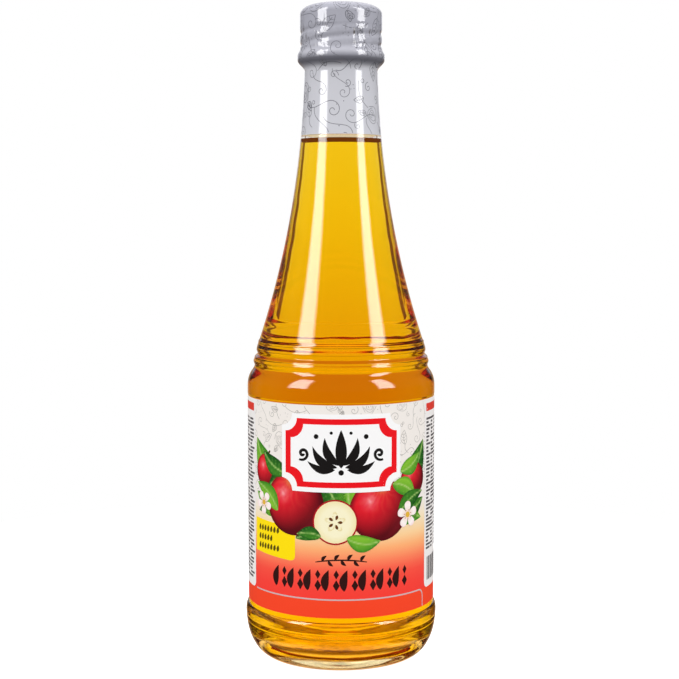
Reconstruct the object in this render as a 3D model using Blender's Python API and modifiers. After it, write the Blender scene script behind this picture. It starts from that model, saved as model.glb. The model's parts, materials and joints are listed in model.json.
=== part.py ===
# Vinegar bottle: a half-litre glass bottle with a long flared neck, its vinegar, a wrap-round label,
# an aluminium screw cap and a shrink sleeve over cap and neck.
# Metres, +Z up. The bottle stands on z = 0 with its axis on Z, and the front of the label faces -Y.
# An outline is a list of (radius, height) points. Outlines run upwards, and a piece is turned from them.

import math

import bpy
from mathutils import Vector

# Every piece has the same number of sides, so the gaps between the pieces stay even.
SIDES = 36
CLEARANCE = 0.0003
SHARP_ANGLE = math.radians(32)

# Foot of the bottle
STANDING_RING_RADIUS = 0.0284
STANDING_RING_WIDTH = 0.0022
PUNT_HEIGHT = 0.0014
BULGE_RADIUS = 0.03714
BULGE_HEIGHT = 0.0169
BULGE_TOP_ROUNDING = 0.0030

# Body, with the shallow panel that the label lies in
BODY_RADIUS = 0.0362
PANEL_DEPTH = 0.0006
PANEL_RADIUS = BODY_RADIUS - PANEL_DEPTH
PANEL_TOP = 0.1013
PANEL_CHAMFER = 0.0005
SHOULDER_START = 0.1035
SHOULDER_BEND = (0.0346, 0.1100)
SHOULDER_BEND_SLOPE = -0.7

# Rings pressed into the shoulder, each turn of their outline as radius and height
LOWER_GROOVE = (0.03345, 0.1123)
LOWER_CREST = (0.03387, 0.1139)
LOWER_CREST_EDGE = (0.03345, 0.1153)
UPPER_GROOVE = (0.03230, 0.1169)
UPPER_CREST = (0.03266, 0.1182)
LEDGE = (0.03195, 0.1216)

# The long flare from the ledge up to the neck, with the slope of its radius at each end
FLARE_BOTTOM = (0.03150, 0.1222)
FLARE_BOTTOM_SLOPE = -0.329
FLARE_TOP = (0.01390, 0.2244)
FLARE_TOP_SLOPE = -0.028

# Collar round the neck under the cap, and the cap, both measured over the sleeve
COLLAR_RADIUS = 0.0166
COLLAR_BOTTOM = 0.2286
COLLAR_TOP = 0.2302
CAP_RADIUS = 0.0156
CAP_FOOT = 0.2327
CAP_EDGE_START = 0.2456
CAP_EDGE_HEIGHT = 0.0038
CAP_EDGE_WIDTH = 0.0070
CAP_WALL = 0.0008

# Thread rolled into the side of the cap: two starts that rise to the right and fade out near the top
THREAD_STARTS = 2
THREAD_SPACING = 0.0046
THREAD_DEPTH = 0.00038
THREAD_GROOVE_ON_LEFT = 0.2338
THREAD_TOP = 0.2412
THREAD_TOP_FADE = 0.0026
THREAD_FOOT_FADE = 0.0009

# Shrink sleeve
SLEEVE_HEM = 0.2000
SLEEVE_THICKNESS = 0.0003
SLEEVE_TOP_OPENING = 0.0108

# Label
LABEL_BOTTOM = 0.0217
LABEL_TOP = 0.1007
LABEL_THICKNESS = 0.0003

# Inside of the glass
FLOOR_CENTRE_HEIGHT = 0.0058
FLOOR_EDGE = (0.0200, 0.0050)
INNER_HEEL_TOP = (0.0338, 0.0180)
INNER_SHOULDER_START = 0.1040
INNER_FLARE_START = 0.1275
FLARE_WALL = 0.0025
INNER_FLARE_END = 0.2185
BORE_RADIUS = 0.0102
BORE_START = 0.2270

# Glass finish inside the cap
FINISH_RADIUS = 0.0135
LIP_HEIGHT = 0.2464
LIP_ROUNDING = 0.0012

# The drink stands just under the hem of the sleeve.
LIQUID_LEVEL = 0.1971


def between(start, end, share):
    return start + (end - start) * share


def cubic_radius(height, low, high, low_slope, high_slope):
    """Radius at a height on the curve from point low to point high that has these slopes at its ends."""
    span = high[1] - low[1]
    share = (height - low[1]) / span
    square = share * share
    cube = square * share
    return (
        (2 * cube - 3 * square + 1) * low[0]
        + (cube - 2 * square + share) * span * low_slope
        + (3 * square - 2 * cube) * high[0]
        + (cube - square) * span * high_slope
    )


def curved_run(start, end, start_slope, end_slope, rows):
    """Points after start, up to end, on a curve of the radius that has these slopes at its ends."""
    heights = [between(start[1], end[1], row / rows) for row in range(1, rows + 1)]
    return [(cubic_radius(height, start, end, start_slope, end_slope), height) for height in heights]


def flare_radius(height):
    return cubic_radius(height, FLARE_BOTTOM, FLARE_TOP, FLARE_BOTTOM_SLOPE, FLARE_TOP_SLOPE)


def flare_run(bottom, top, rows):
    """Points up the outside of the flare, both ends included."""
    heights = [between(bottom, top, row / rows) for row in range(rows + 1)]
    return [(flare_radius(height), height) for height in heights]


def eased_run(start, end, rows):
    """Points after start, up to end, on a half wave that is upright at both ends."""
    points = []
    for row in range(1, rows + 1):
        share = row / rows
        eased = 0.5 - 0.5 * math.cos(math.pi * share)
        points.append((between(start[0], end[0], eased), between(start[1], end[1], share)))
    return points


def oval_run(centre, width, height, start_turn, end_turn, rows):
    """Points on part of an oval, both ends included."""
    points = []
    for row in range(rows + 1):
        turn = between(start_turn, end_turn, row / rows)
        points.append((centre[0] + width * math.cos(turn), centre[1] + height * math.sin(turn)))
    return points


def crowned_run(centre_height, edge, rows):
    """Points from the axis out to edge, over a floor that is level at its middle and at its edge."""
    points = []
    for row in range(rows + 1):
        share = row / rows
        crown = 0.5 + 0.5 * math.cos(math.pi * share)
        points.append((edge[0] * share, between(edge[1], centre_height, crown)))
    return points


def domed_run(centre_height, edge, rows):
    """Points from the axis out to edge, over a dome that is level only at its middle."""
    shares = [row / rows for row in range(rows + 1)]
    return [(edge[0] * share, between(centre_height, edge[1], share * share)) for share in shares]


def moved_inwards(outline, distance):
    """The same outline moved square to itself, towards the axis or, on a floor, upwards. Its end on the
    axis stays there."""
    moved = []
    for index, point in enumerate(outline):
        before = Vector(outline[max(index - 1, 0)])
        after = Vector(outline[min(index + 1, len(outline) - 1)])
        run = (after - before).normalized()
        radius = point[0] - run.y * distance if point[0] else 0
        moved.append((radius, point[1] + run.x * distance))
    return moved


def foot_outline():
    """From the axis under the base, over the standing ring and the heel, to the foot of the panel."""
    punt = domed_run(PUNT_HEIGHT, (STANDING_RING_RADIUS - STANDING_RING_WIDTH, 0), 4)
    heel = oval_run(
        (STANDING_RING_RADIUS, BULGE_HEIGHT), BULGE_RADIUS - STANDING_RING_RADIUS, BULGE_HEIGHT,
        -math.pi / 2, 0, 8,
    )
    step = oval_run(
        (PANEL_RADIUS, BULGE_HEIGHT), BULGE_RADIUS - PANEL_RADIUS, BULGE_TOP_ROUNDING, 0, math.pi / 2, 4,
    )
    return punt + heel + step[1:]


def shoulder_outline():
    """From the top of the label panel, over the shoulder and its rings, to the ledge."""
    start = (BODY_RADIUS, SHOULDER_START)
    points = [(PANEL_RADIUS, PANEL_TOP), (BODY_RADIUS, PANEL_TOP + PANEL_CHAMFER), start]
    points += curved_run(start, SHOULDER_BEND, 0, SHOULDER_BEND_SLOPE, 4)
    points += curved_run(SHOULDER_BEND, LOWER_GROOVE, SHOULDER_BEND_SLOPE, 0, 3)
    points += eased_run(LOWER_GROOVE, LOWER_CREST, 2)
    points += eased_run(LOWER_CREST, LOWER_CREST_EDGE, 2)
    points += eased_run(LOWER_CREST_EDGE, UPPER_GROOVE, 3)
    points += eased_run(UPPER_GROOVE, UPPER_CREST, 2)
    points += eased_run(UPPER_CREST, LEDGE, 3)
    return points


def collar_outline(rows):
    """From the top of the flare, over the collar, to the foot of the cap."""
    points = eased_run(FLARE_TOP, (COLLAR_RADIUS, COLLAR_BOTTOM), rows)
    points.append((COLLAR_RADIUS, COLLAR_TOP))
    return points + eased_run(points[-1], (CAP_RADIUS, CAP_FOOT), 3)


def cap_outline():
    """From just above the foot of the cap, up its side and over its rounded edge."""
    rows = 8
    side = [(CAP_RADIUS, between(CAP_FOOT, THREAD_TOP, row / rows)) for row in range(1, rows + 1)]
    edge_centre = CAP_RADIUS - CAP_EDGE_WIDTH
    reach = math.acos((SLEEVE_TOP_OPENING - edge_centre) / CAP_EDGE_WIDTH)
    return side + oval_run((edge_centre, CAP_EDGE_START), CAP_EDGE_WIDTH, CAP_EDGE_HEIGHT, 0, reach, 5)


def inside_outline():
    """Up the inside of the glass, from the middle of the floor to the start of the bore."""
    floor = crowned_run(FLOOR_CENTRE_HEIGHT, FLOOR_EDGE, 4)
    heel = oval_run(
        (FLOOR_EDGE[0], INNER_HEEL_TOP[1]), INNER_HEEL_TOP[0] - FLOOR_EDGE[0],
        INNER_HEEL_TOP[1] - FLOOR_EDGE[1], -math.pi / 2, 0, 7,
    )
    flare = moved_inwards(flare_run(INNER_FLARE_START, INNER_FLARE_END, 7), FLARE_WALL)
    low = (INNER_HEEL_TOP[0], INNER_SHOULDER_START)
    slope = (flare[1][0] - flare[0][0]) / (flare[1][1] - flare[0][1])
    shoulder = []
    rows = 4
    for row in range(rows):
        height = between(low[1], flare[0][1], row / rows)
        shoulder.append((cubic_radius(height, low, flare[0], 0, slope), height))
    return floor + heel[1:] + shoulder + flare + eased_run(flare[-1], (BORE_RADIUS, BORE_START), 2)


def glass_outline():
    """The whole of the glass: up the inside, over the lip and down the outside."""
    skin = SLEEVE_THICKNESS + CLEARANCE
    lip = [
        (BORE_RADIUS, LIP_HEIGHT - LIP_ROUNDING),
        (BORE_RADIUS + LIP_ROUNDING, LIP_HEIGHT),
        (FINISH_RADIUS - LIP_ROUNDING, LIP_HEIGHT),
        (FINISH_RADIUS, LIP_HEIGHT - LIP_ROUNDING),
        (FINISH_RADIUS, CAP_FOOT - 2 * CLEARANCE),
    ]
    sleeved = flare_run(SLEEVE_HEM - CLEARANCE, FLARE_TOP[1], 4) + collar_outline(4)
    bare = flare_run(FLARE_BOTTOM[1], SLEEVE_HEM - 2 * CLEARANCE, 7)
    outside = foot_outline() + shoulder_outline() + bare + moved_inwards(sleeved, skin)[:-1]
    return inside_outline() + lip + outside[::-1]


def vinegar_outline():
    """The drink, from the middle of its surface down to the middle of the floor."""
    wet = [point for point in moved_inwards(inside_outline(), CLEARANCE) if point[1] < LIQUID_LEVEL]
    edge_radius = flare_radius(LIQUID_LEVEL) - FLARE_WALL - CLEARANCE
    return [(0, LIQUID_LEVEL), (edge_radius, LIQUID_LEVEL)] + wet[::-1]


def screw_cap_outline():
    """The cap, from the middle of its top, down its side and up its inside."""
    outer = moved_inwards(cap_outline(), SLEEVE_THICKNESS + CLEARANCE)
    inner_radius = FINISH_RADIUS + CLEARANCE
    foot_radius = CAP_RADIUS - SLEEVE_THICKNESS - CLEARANCE
    inner_edge = moved_inwards(outer[-6:], CAP_WALL)
    inside = [point for point in inner_edge if point[0] < inner_radius - CLEARANCE]
    corner = (inner_radius, inside[0][1] - CAP_WALL)
    top = outer[-1][1]
    return (
        [(0, top)] + outer[::-1] + [(foot_radius, CAP_FOOT), (inner_radius, CAP_FOOT), corner]
        + inside + [(0, inside[-1][1])]
    )


def sleeve_outline():
    """The sleeve, down its outside and back up its inside, as a closed loop."""
    outer = flare_run(SLEEVE_HEM, FLARE_TOP[1], 4) + collar_outline(5) + cap_outline()
    return outer[::-1] + moved_inwards(outer, SLEEVE_THICKNESS)


def label_outline():
    """The label's band, down its outside and back up its inside, as a closed loop."""
    inner = PANEL_RADIUS + CLEARANCE
    outer = inner + LABEL_THICKNESS
    return [(outer, LABEL_TOP), (outer, LABEL_BOTTOM), (inner, LABEL_BOTTOM), (inner, LABEL_TOP)]


def make_collection(name):
    collection = bpy.data.collections.new(name)
    bpy.context.scene.collection.children.link(collection)
    return collection


def make_material(name, colour, roughness, metallic=0.0, transmission=0.0):
    material = bpy.data.materials.new(name)
    material.use_nodes = True
    shader = material.node_tree.nodes["Principled BSDF"]
    shader.inputs["Base Color"].default_value = (*colour, 1)
    shader.inputs["Roughness"].default_value = roughness
    shader.inputs["Metallic"].default_value = metallic
    shader.inputs["Transmission Weight"].default_value = transmission
    material.diffuse_color = (*colour, 1)
    return material


def turn_piece(name, outline, material, collection, closed=False):
    """Turns an outline round the Z axis with a Screw modifier, and keeps the result as a plain mesh."""
    count = len(outline)
    edges = [(index, (index + 1) % count) for index in range(count if closed else count - 1)]
    profile = bpy.data.meshes.new(name + "_profile")
    profile.from_pydata([(radius, 0, height) for radius, height in outline], edges, [])
    piece = bpy.data.objects.new(name, profile)
    collection.objects.link(piece)
    screw = piece.modifiers.new("Turn", "SCREW")
    screw.steps = SIDES
    screw.render_steps = SIDES
    screw.use_merge_vertices = True
    screw.merge_threshold = 0.00001
    bpy.context.view_layer.update()
    turned = bpy.data.meshes.new_from_object(piece.evaluated_get(bpy.context.evaluated_depsgraph_get()))
    piece.modifiers.clear()
    piece.data = turned
    bpy.data.meshes.remove(profile)
    turned.name = name
    turned.materials.append(material)
    turned.shade_smooth()
    turned.set_sharp_from_angle(angle=SHARP_ANGLE)
    return piece


def thread_relief(turn, height):
    """How deep the rolled thread is at a height and at an angle from the left-hand side, round the front."""
    if not CAP_FOOT < height < THREAD_TOP:
        return 0
    wave = 2 * math.pi * (height - THREAD_GROOVE_ON_LEFT) / THREAD_SPACING - THREAD_STARTS * turn
    fade = min((height - CAP_FOOT) / THREAD_FOOT_FADE, (THREAD_TOP - height) / THREAD_TOP_FADE, 1)
    return THREAD_DEPTH * fade * (0.5 + 0.5 * math.cos(wave))


def press_thread(piece):
    """Moves the wall of the cap, or of the sleeve on it, inwards along the thread."""
    for vertex in piece.data.vertices:
        place = vertex.co
        radius = math.hypot(place.x, place.y)
        turn = math.atan2(place.y, place.x) + math.pi
        relief = thread_relief(turn, place.z)
        if relief > 0:
            place.xy *= (radius - relief) / radius


def build():
    parts = make_collection("vinegar bottle")
    glass = make_material("clear glass", (0.96, 0.98, 0.96), 0.02, transmission=1.0)
    drink = make_material("golden vinegar", (0.93, 0.58, 0.03), 0.02, transmission=0.6)
    aluminium = make_material("aluminium", (0.78, 0.78, 0.80), 0.30, metallic=1.0)
    film = make_material("silver sleeve film", (0.60, 0.60, 0.66), 0.25, metallic=0.4)
    paper = make_material("printed label", (0.86, 0.32, 0.22), 0.35)

    turn_piece("glass_bottle", glass_outline(), glass, parts)
    turn_piece("vinegar", vinegar_outline(), drink, parts)
    turn_piece("label", label_outline(), paper, parts, closed=True)
    press_thread(turn_piece("screw_cap", screw_cap_outline(), aluminium, parts))
    press_thread(turn_piece("shrink_sleeve", sleeve_outline(), film, parts, closed=True))


for leftover in list(bpy.data.objects):
    bpy.data.objects.remove(leftover, do_unlink=True)
build()
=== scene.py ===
# Vinegar bottle: the looks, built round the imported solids. Metres, +Z up, the label's front faces -Y.
# A place on a wall is its turn from the front (radians, rising to the right) and its height.

import json
import math

import bmesh
import bpy
import mathutils
import numpy as np
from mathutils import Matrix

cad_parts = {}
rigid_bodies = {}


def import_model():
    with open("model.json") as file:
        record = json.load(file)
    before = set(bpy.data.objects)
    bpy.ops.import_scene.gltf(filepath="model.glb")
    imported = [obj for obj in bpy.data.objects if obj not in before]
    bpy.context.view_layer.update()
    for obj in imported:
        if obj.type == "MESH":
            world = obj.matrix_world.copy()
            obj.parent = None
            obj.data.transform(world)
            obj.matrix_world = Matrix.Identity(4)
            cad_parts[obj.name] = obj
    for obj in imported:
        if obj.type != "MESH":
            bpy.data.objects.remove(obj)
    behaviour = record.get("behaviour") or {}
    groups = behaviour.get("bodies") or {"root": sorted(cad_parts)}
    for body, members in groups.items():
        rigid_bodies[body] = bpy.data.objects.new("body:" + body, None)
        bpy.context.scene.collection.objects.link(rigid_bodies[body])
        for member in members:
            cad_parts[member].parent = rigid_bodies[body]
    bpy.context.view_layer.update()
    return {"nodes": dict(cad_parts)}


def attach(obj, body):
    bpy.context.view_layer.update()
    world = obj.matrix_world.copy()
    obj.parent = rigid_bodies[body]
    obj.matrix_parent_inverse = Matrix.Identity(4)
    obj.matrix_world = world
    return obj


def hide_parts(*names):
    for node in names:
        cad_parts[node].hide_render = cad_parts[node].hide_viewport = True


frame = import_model()
mm = 0.001
fullTurn = 2 * math.pi
print("frame loaded:", sorted(frame["nodes"]))


# small helpers for node trees and pieces

def paint(red, green, blue):
    def straight(value):
        share = value / 255
        return share / 12.92 if share <= 0.04045 else ((share + 0.055) / 1.055) ** 2.4
    return (straight(red), straight(green), straight(blue), 1)


def putNode(tree, kind, inputs=None, **settings):
    node = tree.nodes.new(kind)
    for key, value in settings.items():
        setattr(node, key, value)
    for key, value in (inputs or {}).items():
        if isinstance(value, bpy.types.NodeSocket):
            tree.links.new(value, node.inputs[key])
        else:
            node.inputs[key].default_value = value
    return node


def calc(tree, operation, first, second=0.0, third=0.0, clamp=False):
    node = putNode(
        tree, "ShaderNodeMath", {0: first, 1: second, 2: third}, operation=operation, use_clamp=clamp
    )
    return node.outputs[0]


def times(tree, first, *others):
    for other in others:
        first = calc(tree, "MULTIPLY", first, other)
    return first


def restOf(tree, share):
    return calc(tree, "SUBTRACT", 1, share)


def smoothBetween(tree, value, low, high):
    node = putNode(
        tree, "ShaderNodeMapRange", {"Value": value, "From Min": low, "From Max": high},
        interpolation_type="SMOOTHSTEP",
    )
    return node.outputs["Result"]


def mixedColour(tree, share, first, second):
    node = putNode(tree, "ShaderNodeMix", {"Factor": share, 6: first, 7: second}, data_type="RGBA")
    return node.outputs[2]


def vectorMath(tree, operation, inputs, output=0):
    return putNode(tree, "ShaderNodeVectorMath", inputs, operation=operation).outputs[output]


def scaled(tree, vector, amount):
    return vectorMath(tree, "SCALE", {0: vector, "Scale": amount})


def lengthOf(tree, vector):
    return vectorMath(tree, "LENGTH", {0: vector}, "Value")


def splitUp(tree, vector):
    return putNode(tree, "ShaderNodeSeparateXYZ", {0: vector}).outputs


def joined(tree, x, y, z):
    return putNode(tree, "ShaderNodeCombineXYZ", {"X": x, "Y": y, "Z": z}).outputs[0]


def noiseOn(tree, vector, detail):
    return putNode(tree, "ShaderNodeTexNoise", {"Vector": vector, "Scale": 1.0, "Detail": detail}).outputs[0]


def onPiece(tree):
    return putNode(tree, "ShaderNodeTexCoord").outputs["Object"]


def newMaterial(name, sockets):
    material = bpy.data.materials.new(name)
    material.use_nodes = True
    shader = material.node_tree.nodes["Principled BSDF"]
    for socket, value in sockets.items():
        shader.inputs[socket].default_value = value
    return material, material.node_tree, shader


def tintBody(tree, tint, strength):
    body = putNode(tree, "ShaderNodeVolumeAbsorption", {"Color": tint, "Density": strength})
    tree.links.new(body.outputs[0], tree.nodes["Material Output"].inputs["Volume"])


def newObject(name, data):
    thing = bpy.data.objects.new(name, data)
    bpy.context.scene.collection.objects.link(thing)
    return thing


# Geometry Nodes trees: named inputs, then the work, then real geometry with its finish

def startTree(name, *inputs):
    tree = bpy.data.node_groups.new(name, "GeometryNodeTree")
    for label, kind in (("Geometry", "Geometry"), *inputs, ("Finish", "Material")):
        tree.interface.new_socket(label, in_out="INPUT", socket_type="NodeSocket" + kind)
    tree.interface.new_socket("Geometry", in_out="OUTPUT", socket_type="NodeSocketGeometry")
    return tree, putNode(tree, "NodeGroupInput").outputs


def endTree(tree, geometry, finish):
    real = putNode(tree, "GeometryNodeRealizeInstances", {"Geometry": geometry})
    finished = putNode(tree, "GeometryNodeSetMaterial", {"Geometry": real.outputs[0], "Material": finish})
    out = tree.nodes.new("NodeGroupOutput")
    tree.links.new(finished.outputs[0], out.inputs[0])
    return tree


def moveTo(tree, geometry, place):
    return putNode(tree, "GeometryNodeSetPosition", {"Geometry": geometry, "Position": place}).outputs[0]


def placeNow(tree):
    return putNode(tree, "GeometryNodeInputPosition").outputs[0]


def gridPlace(tree, rows):
    index = putNode(tree, "GeometryNodeInputIndex").outputs[0]
    column = calc(tree, "FLOOR", calc(tree, "DIVIDE", calc(tree, "ADD", index, 0.5), rows))
    return calc(tree, "FLOORED_MODULO", index, rows), column


# camera, at the photo's angle

cameraSet = {
    "place": (-0.0006, -0.555, 0.1684), "pitchDown": 4.8, "lens": 76.23, "sensor": 36.0, "nearest": 0.01,
    "bounces": 32, "mirrorBounces": 24,
}


def makeCamera():
    data = bpy.data.cameras.new("photoCamera")
    data.lens = cameraSet["lens"]
    data.sensor_width = cameraSet["sensor"]
    data.dof.use_dof = False
    data.clip_start = cameraSet["nearest"]
    camera = newObject("photoCamera", data)
    camera.location = cameraSet["place"]
    camera.rotation_euler = (math.radians(90 - cameraSet["pitchDown"]), 0, 0)
    bpy.context.scene.camera = camera
    bpy.context.scene.view_settings.view_transform = "Standard"
    # light that is caught in the thick glass needs many turns to find its way out
    paths = bpy.context.scene.cycles
    paths.max_bounces = cameraSet["bounces"]
    paths.transmission_bounces = cameraSet["bounces"]
    paths.glossy_bounces = cameraSet["mirrorBounces"]


makeCamera()
print("camera set")


# studio: a white sheet behind, dark flags beside it, two tall soft boxes in front, a white table
# turns are degrees from the sheet's middle round to the camera, lifts are degrees above the horizon

studioSet = {
    "sheetHalfWidth": 34, "flagStart": 35.5, "flagEnd": 40.5, "sideStart": 42.5,
    "flagTop": 42, "flagGone": 52,
    "lowFlagFrom": 44, "lowFlagStart": 46, "lowFlagEnd": 62, "lowFlagGone": 68,
    "lowFlagTop": -19, "lowFlagAbove": -17,
    "sheetLight": 1.05, "flagLight": 0.2, "sideLight": 0.85,
    "highLight": 1.8, "highFrom": 11, "highFull": 14,
    "flagTone": (1.0, 0.62, 0.34, 1),
    "stripTone": (0.26, 0.12, 0.045, 1), "stripStart": 56, "stripEnd": 64,
    "roomTone": (0.8, 0.8, 0.8, 1), "roomStart": 72, "roomEnd": 84,
    "mirroredTone": (0.6, 0.36, 0.19, 1), "mirroredShare": 0.06, "mirroredFull": 18, "mirroredTo": 30,
    "silverTone": (0.78, 0.78, 0.84, 1), "silverFrom": 3.2, "silverFull": 4.2,
    "softLight": 1.7, "underLight": 0.2, "softFrom": -0.35, "softFull": 0.25,
}
white = (1, 1, 1, 1)
black = (0, 0, 0, 1)


def makeStudio():
    s = studioSet
    world = bpy.data.worlds.new("studio")
    bpy.context.scene.world = world
    world.use_nodes = True
    tree = world.node_tree
    tree.nodes.clear()
    degrees = 180 / math.pi
    way = splitUp(tree, putNode(tree, "ShaderNodeTexCoord").outputs["Generated"])
    aside = calc(tree, "ABSOLUTE", way["X"])
    turn = times(tree, calc(tree, "ARCTAN2", aside, way["Y"]), degrees)
    lift = times(tree, calc(tree, "ARCSINE", way["Z"]), degrees)
    outOfFlag = smoothBetween(tree, turn, s["flagEnd"], s["sideStart"])
    inFlag = times(
        tree, smoothBetween(tree, turn, s["sheetHalfWidth"], s["flagStart"]), restOf(tree, outOfFlag),
        restOf(tree, smoothBetween(tree, lift, s["flagTop"], s["flagGone"])),
    )
    inLow = times(
        tree, smoothBetween(tree, turn, s["lowFlagFrom"], s["lowFlagStart"]),
        restOf(tree, smoothBetween(tree, turn, s["lowFlagEnd"], s["lowFlagGone"])),
        restOf(tree, smoothBetween(tree, lift, s["lowFlagTop"], s["lowFlagAbove"])),
    )
    dark = calc(tree, "MAXIMUM", inFlag, inLow)
    bright = calc(tree, "MULTIPLY_ADD", outOfFlag, s["sideLight"] - s["sheetLight"], s["sheetLight"])
    # brighter higher up, which only the floor and the clear foot show
    risen = smoothBetween(tree, lift, s["highFrom"], s["highFull"])
    bright = times(tree, bright, calc(tree, "MULTIPLY_ADD", risen, s["highLight"] - 1, 1))
    drop = times(tree, dark, calc(tree, "SUBTRACT", bright, s["flagLight"]))
    through = calc(tree, "SUBTRACT", bright, drop)
    # brown flags, then a dark brown strip past the sheet's ends, and a light room further round
    tone = mixedColour(tree, dark, white, s["flagTone"])
    through = scaled(tree, tone, through)
    for kind in ("strip", "room"):
        further = smoothBetween(tree, turn, s[kind + "Start"], s[kind + "End"])
        through = mixedColour(tree, further, through, s[kind + "Tone"])
    # mirrored light is dim, but full from straight behind: brown low down, silver at the film's height
    behind = smoothBetween(tree, turn, s["mirroredTo"], s["mirroredFull"])
    share = calc(tree, "MULTIPLY_ADD", behind, 1 - s["mirroredShare"], s["mirroredShare"])
    high = smoothBetween(tree, lift, s["silverFrom"], s["silverFull"])
    mirrored = scaled(tree, mixedColour(tree, high, s["mirroredTone"], s["silverTone"]), share)
    # soft light on matt surfaces, weaker from below
    up = smoothBetween(tree, way["Z"], s["softFrom"], s["softFull"])
    soft = calc(tree, "MULTIPLY_ADD", up, s["softLight"] - s["underLight"], s["underLight"])
    rays = putNode(tree, "ShaderNodeLightPath").outputs
    light = through
    for kind, value in (("Reflection", mirrored), ("Diffuse", soft), ("Camera", white)):
        light = mixedColour(tree, rays["Is " + kind + " Ray"], light, value)
    sky = putNode(tree, "ShaderNodeBackground", {"Color": light, "Strength": 1.0})
    out = putNode(tree, "ShaderNodeOutputWorld")
    tree.links.new(sky.outputs[0], out.inputs["Surface"])


# soft boxes, each from one turn to another, in degrees from the camera
softBoxSet = {
    "distance": 1.45, "foot": 0.36, "top": 1.9, "light": 11.5, "clothEdge": 0.5, "clothFull": 0.25,
    "sides": [("leftSoftBox", -38.5, -70.5), ("rightSoftBox", 43.5, 71.5)],
}


def makeSoftBox(name, start, end):
    s = softBoxSet
    data = bpy.data.lights.new(name, "AREA")
    data.shape = "RECTANGLE"
    middle = math.radians((start + end) / 2)
    halfSpread = math.radians(abs(end - start) / 2)
    data.size = 2 * s["distance"] * math.tan(halfSpread)
    data.size_y = s["top"] - s["foot"]
    data.energy = s["light"] * math.pi * data.size * data.size_y
    # brighter in its middle than at its sides, as the cloth of a soft box is
    data.use_nodes = True
    tree = data.node_tree
    across = splitUp(tree, putNode(tree, "ShaderNodeNewGeometry").outputs["Parametric"])["X"]
    fromMiddle = calc(tree, "ABSOLUTE", calc(tree, "SUBTRACT", across, 0.5))
    glow = smoothBetween(tree, fromMiddle, s["clothEdge"], s["clothFull"])
    tree.links.new(glow, tree.nodes["Emission"].inputs["Strength"])
    light = newObject(name, data)
    height = (s["top"] + s["foot"]) / 2
    light.location = (s["distance"] * math.sin(middle), -s["distance"] * math.cos(middle), height)
    light.rotation_euler = (math.pi / 2, 0, middle)
    light.visible_camera = False
    light.visible_diffuse = False
    light.visible_transmission = False
    light.visible_volume_scatter = False


tableSet = {
    "radius": 0.3, "sides": 96, "tone": 0.25, "roughness": 0.9,
    "glow": 0.82, "nearGlow": 1.2, "nearTo": 75 * mm, "farFrom": 125 * mm,
    "underTone": (1.1, 0.66, 0.05, 1), "underFoot": 27 * mm, "clearOfFoot": 31 * mm,
    "ringShade": (0.16, 0.07, 0.01, 1), "shadeFrom": 22 * mm, "shadeFull": 25.5 * mm,
}


def makeTable():
    s = tableSet
    mesh = bpy.data.meshes.new("table")
    shape = bmesh.new()
    bmesh.ops.create_circle(shape, cap_ends=True, segments=s["sides"], radius=s["radius"])
    shape.to_mesh(mesh)
    shape.free()
    table = newObject("table", mesh)
    table.visible_diffuse = False
    table.visible_glossy = False
    material, tree, shader = newMaterial("paleTable", {
        "Base Color": (s["tone"], s["tone"], s["tone"], 1), "Roughness": s["roughness"],
        "Specular IOR Level": 0.0,
    })
    # golden light that the drink lets through, under the foot, and the shade of the standing ring
    fromAxis = lengthOf(tree, onPiece(tree))
    outside = smoothBetween(tree, fromAxis, s["underFoot"], s["clearOfFoot"])
    shaded = smoothBetween(tree, fromAxis, s["shadeFrom"], s["shadeFull"])
    under = mixedColour(tree, shaded, s["underTone"], s["ringShade"])
    tree.links.new(mixedColour(tree, outside, under, white), shader.inputs["Emission Color"])
    # painted pool of light: the table glows brighter near the bottle than further away
    far = smoothBetween(tree, fromAxis, s["nearTo"], s["farFrom"])
    strength = calc(tree, "MULTIPLY_ADD", far, s["glow"] - s["nearGlow"], s["nearGlow"])
    tree.links.new(strength, shader.inputs["Emission Strength"])
    mesh.materials.append(material)


makeStudio()
for name, start, end in softBoxSet["sides"]:
    makeSoftBox(name, start, end)
makeTable()
print("studio set")


# outlines, as (radius, height) points that run upwards

def between(start, end, share):
    return start + (end - start) * share


def cubicRadius(height, low, high, lowSlope, highSlope):
    span = high[1] - low[1]
    share = (height - low[1]) / span
    square = share * share
    cube = square * share
    return (
        (2 * cube - 3 * square + 1) * low[0] + (cube - 2 * square + share) * span * lowSlope
        + (3 * square - 2 * cube) * high[0] + (cube - square) * span * highSlope
    )


def cubicRun(low, high, lowSlope, highSlope, rows):
    heights = [between(low[1], high[1], row / rows) for row in range(rows + 1)]
    return [(cubicRadius(height, low, high, lowSlope, highSlope), height) for height in heights]


def easedRun(start, end, rows):
    points = []
    for row in range(1, rows + 1):
        share = row / rows
        eased = 0.5 - 0.5 * math.cos(math.pi * share)
        points.append((between(start[0], end[0], eased), between(start[1], end[1], share)))
    return points


def ovalRun(centre, width, height, startTurn, endTurn, rows):
    turns = [between(startTurn, endTurn, row / rows) for row in range(rows + 1)]
    return [(centre[0] + width * math.cos(turn), centre[1] + height * math.sin(turn)) for turn in turns]


def crownedRun(centreHeight, edge, rows):
    points = []
    for row in range(rows + 1):
        share = row / rows
        crown = 0.5 + 0.5 * math.cos(math.pi * share)
        points.append((edge[0] * share, between(edge[1], centreHeight, crown)))
    return points


def movedInwards(outline, distance):
    moved = []
    for index, point in enumerate(outline):
        before = outline[max(index - 1, 0)]
        after = outline[min(index + 1, len(outline) - 1)]
        runX, runZ = after[0] - before[0], after[1] - before[1]
        length = math.hypot(runX, runZ)
        radius = point[0] - runZ / length * distance if point[0] else 0
        moved.append((radius, point[1] + runX / length * distance))
    return moved


# turned pieces: a grid is wrapped round the axis by Geometry Nodes, row by row along its outline

mergeWithin = 5e-7  # closes the seam and the poles of a turned piece


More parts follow.
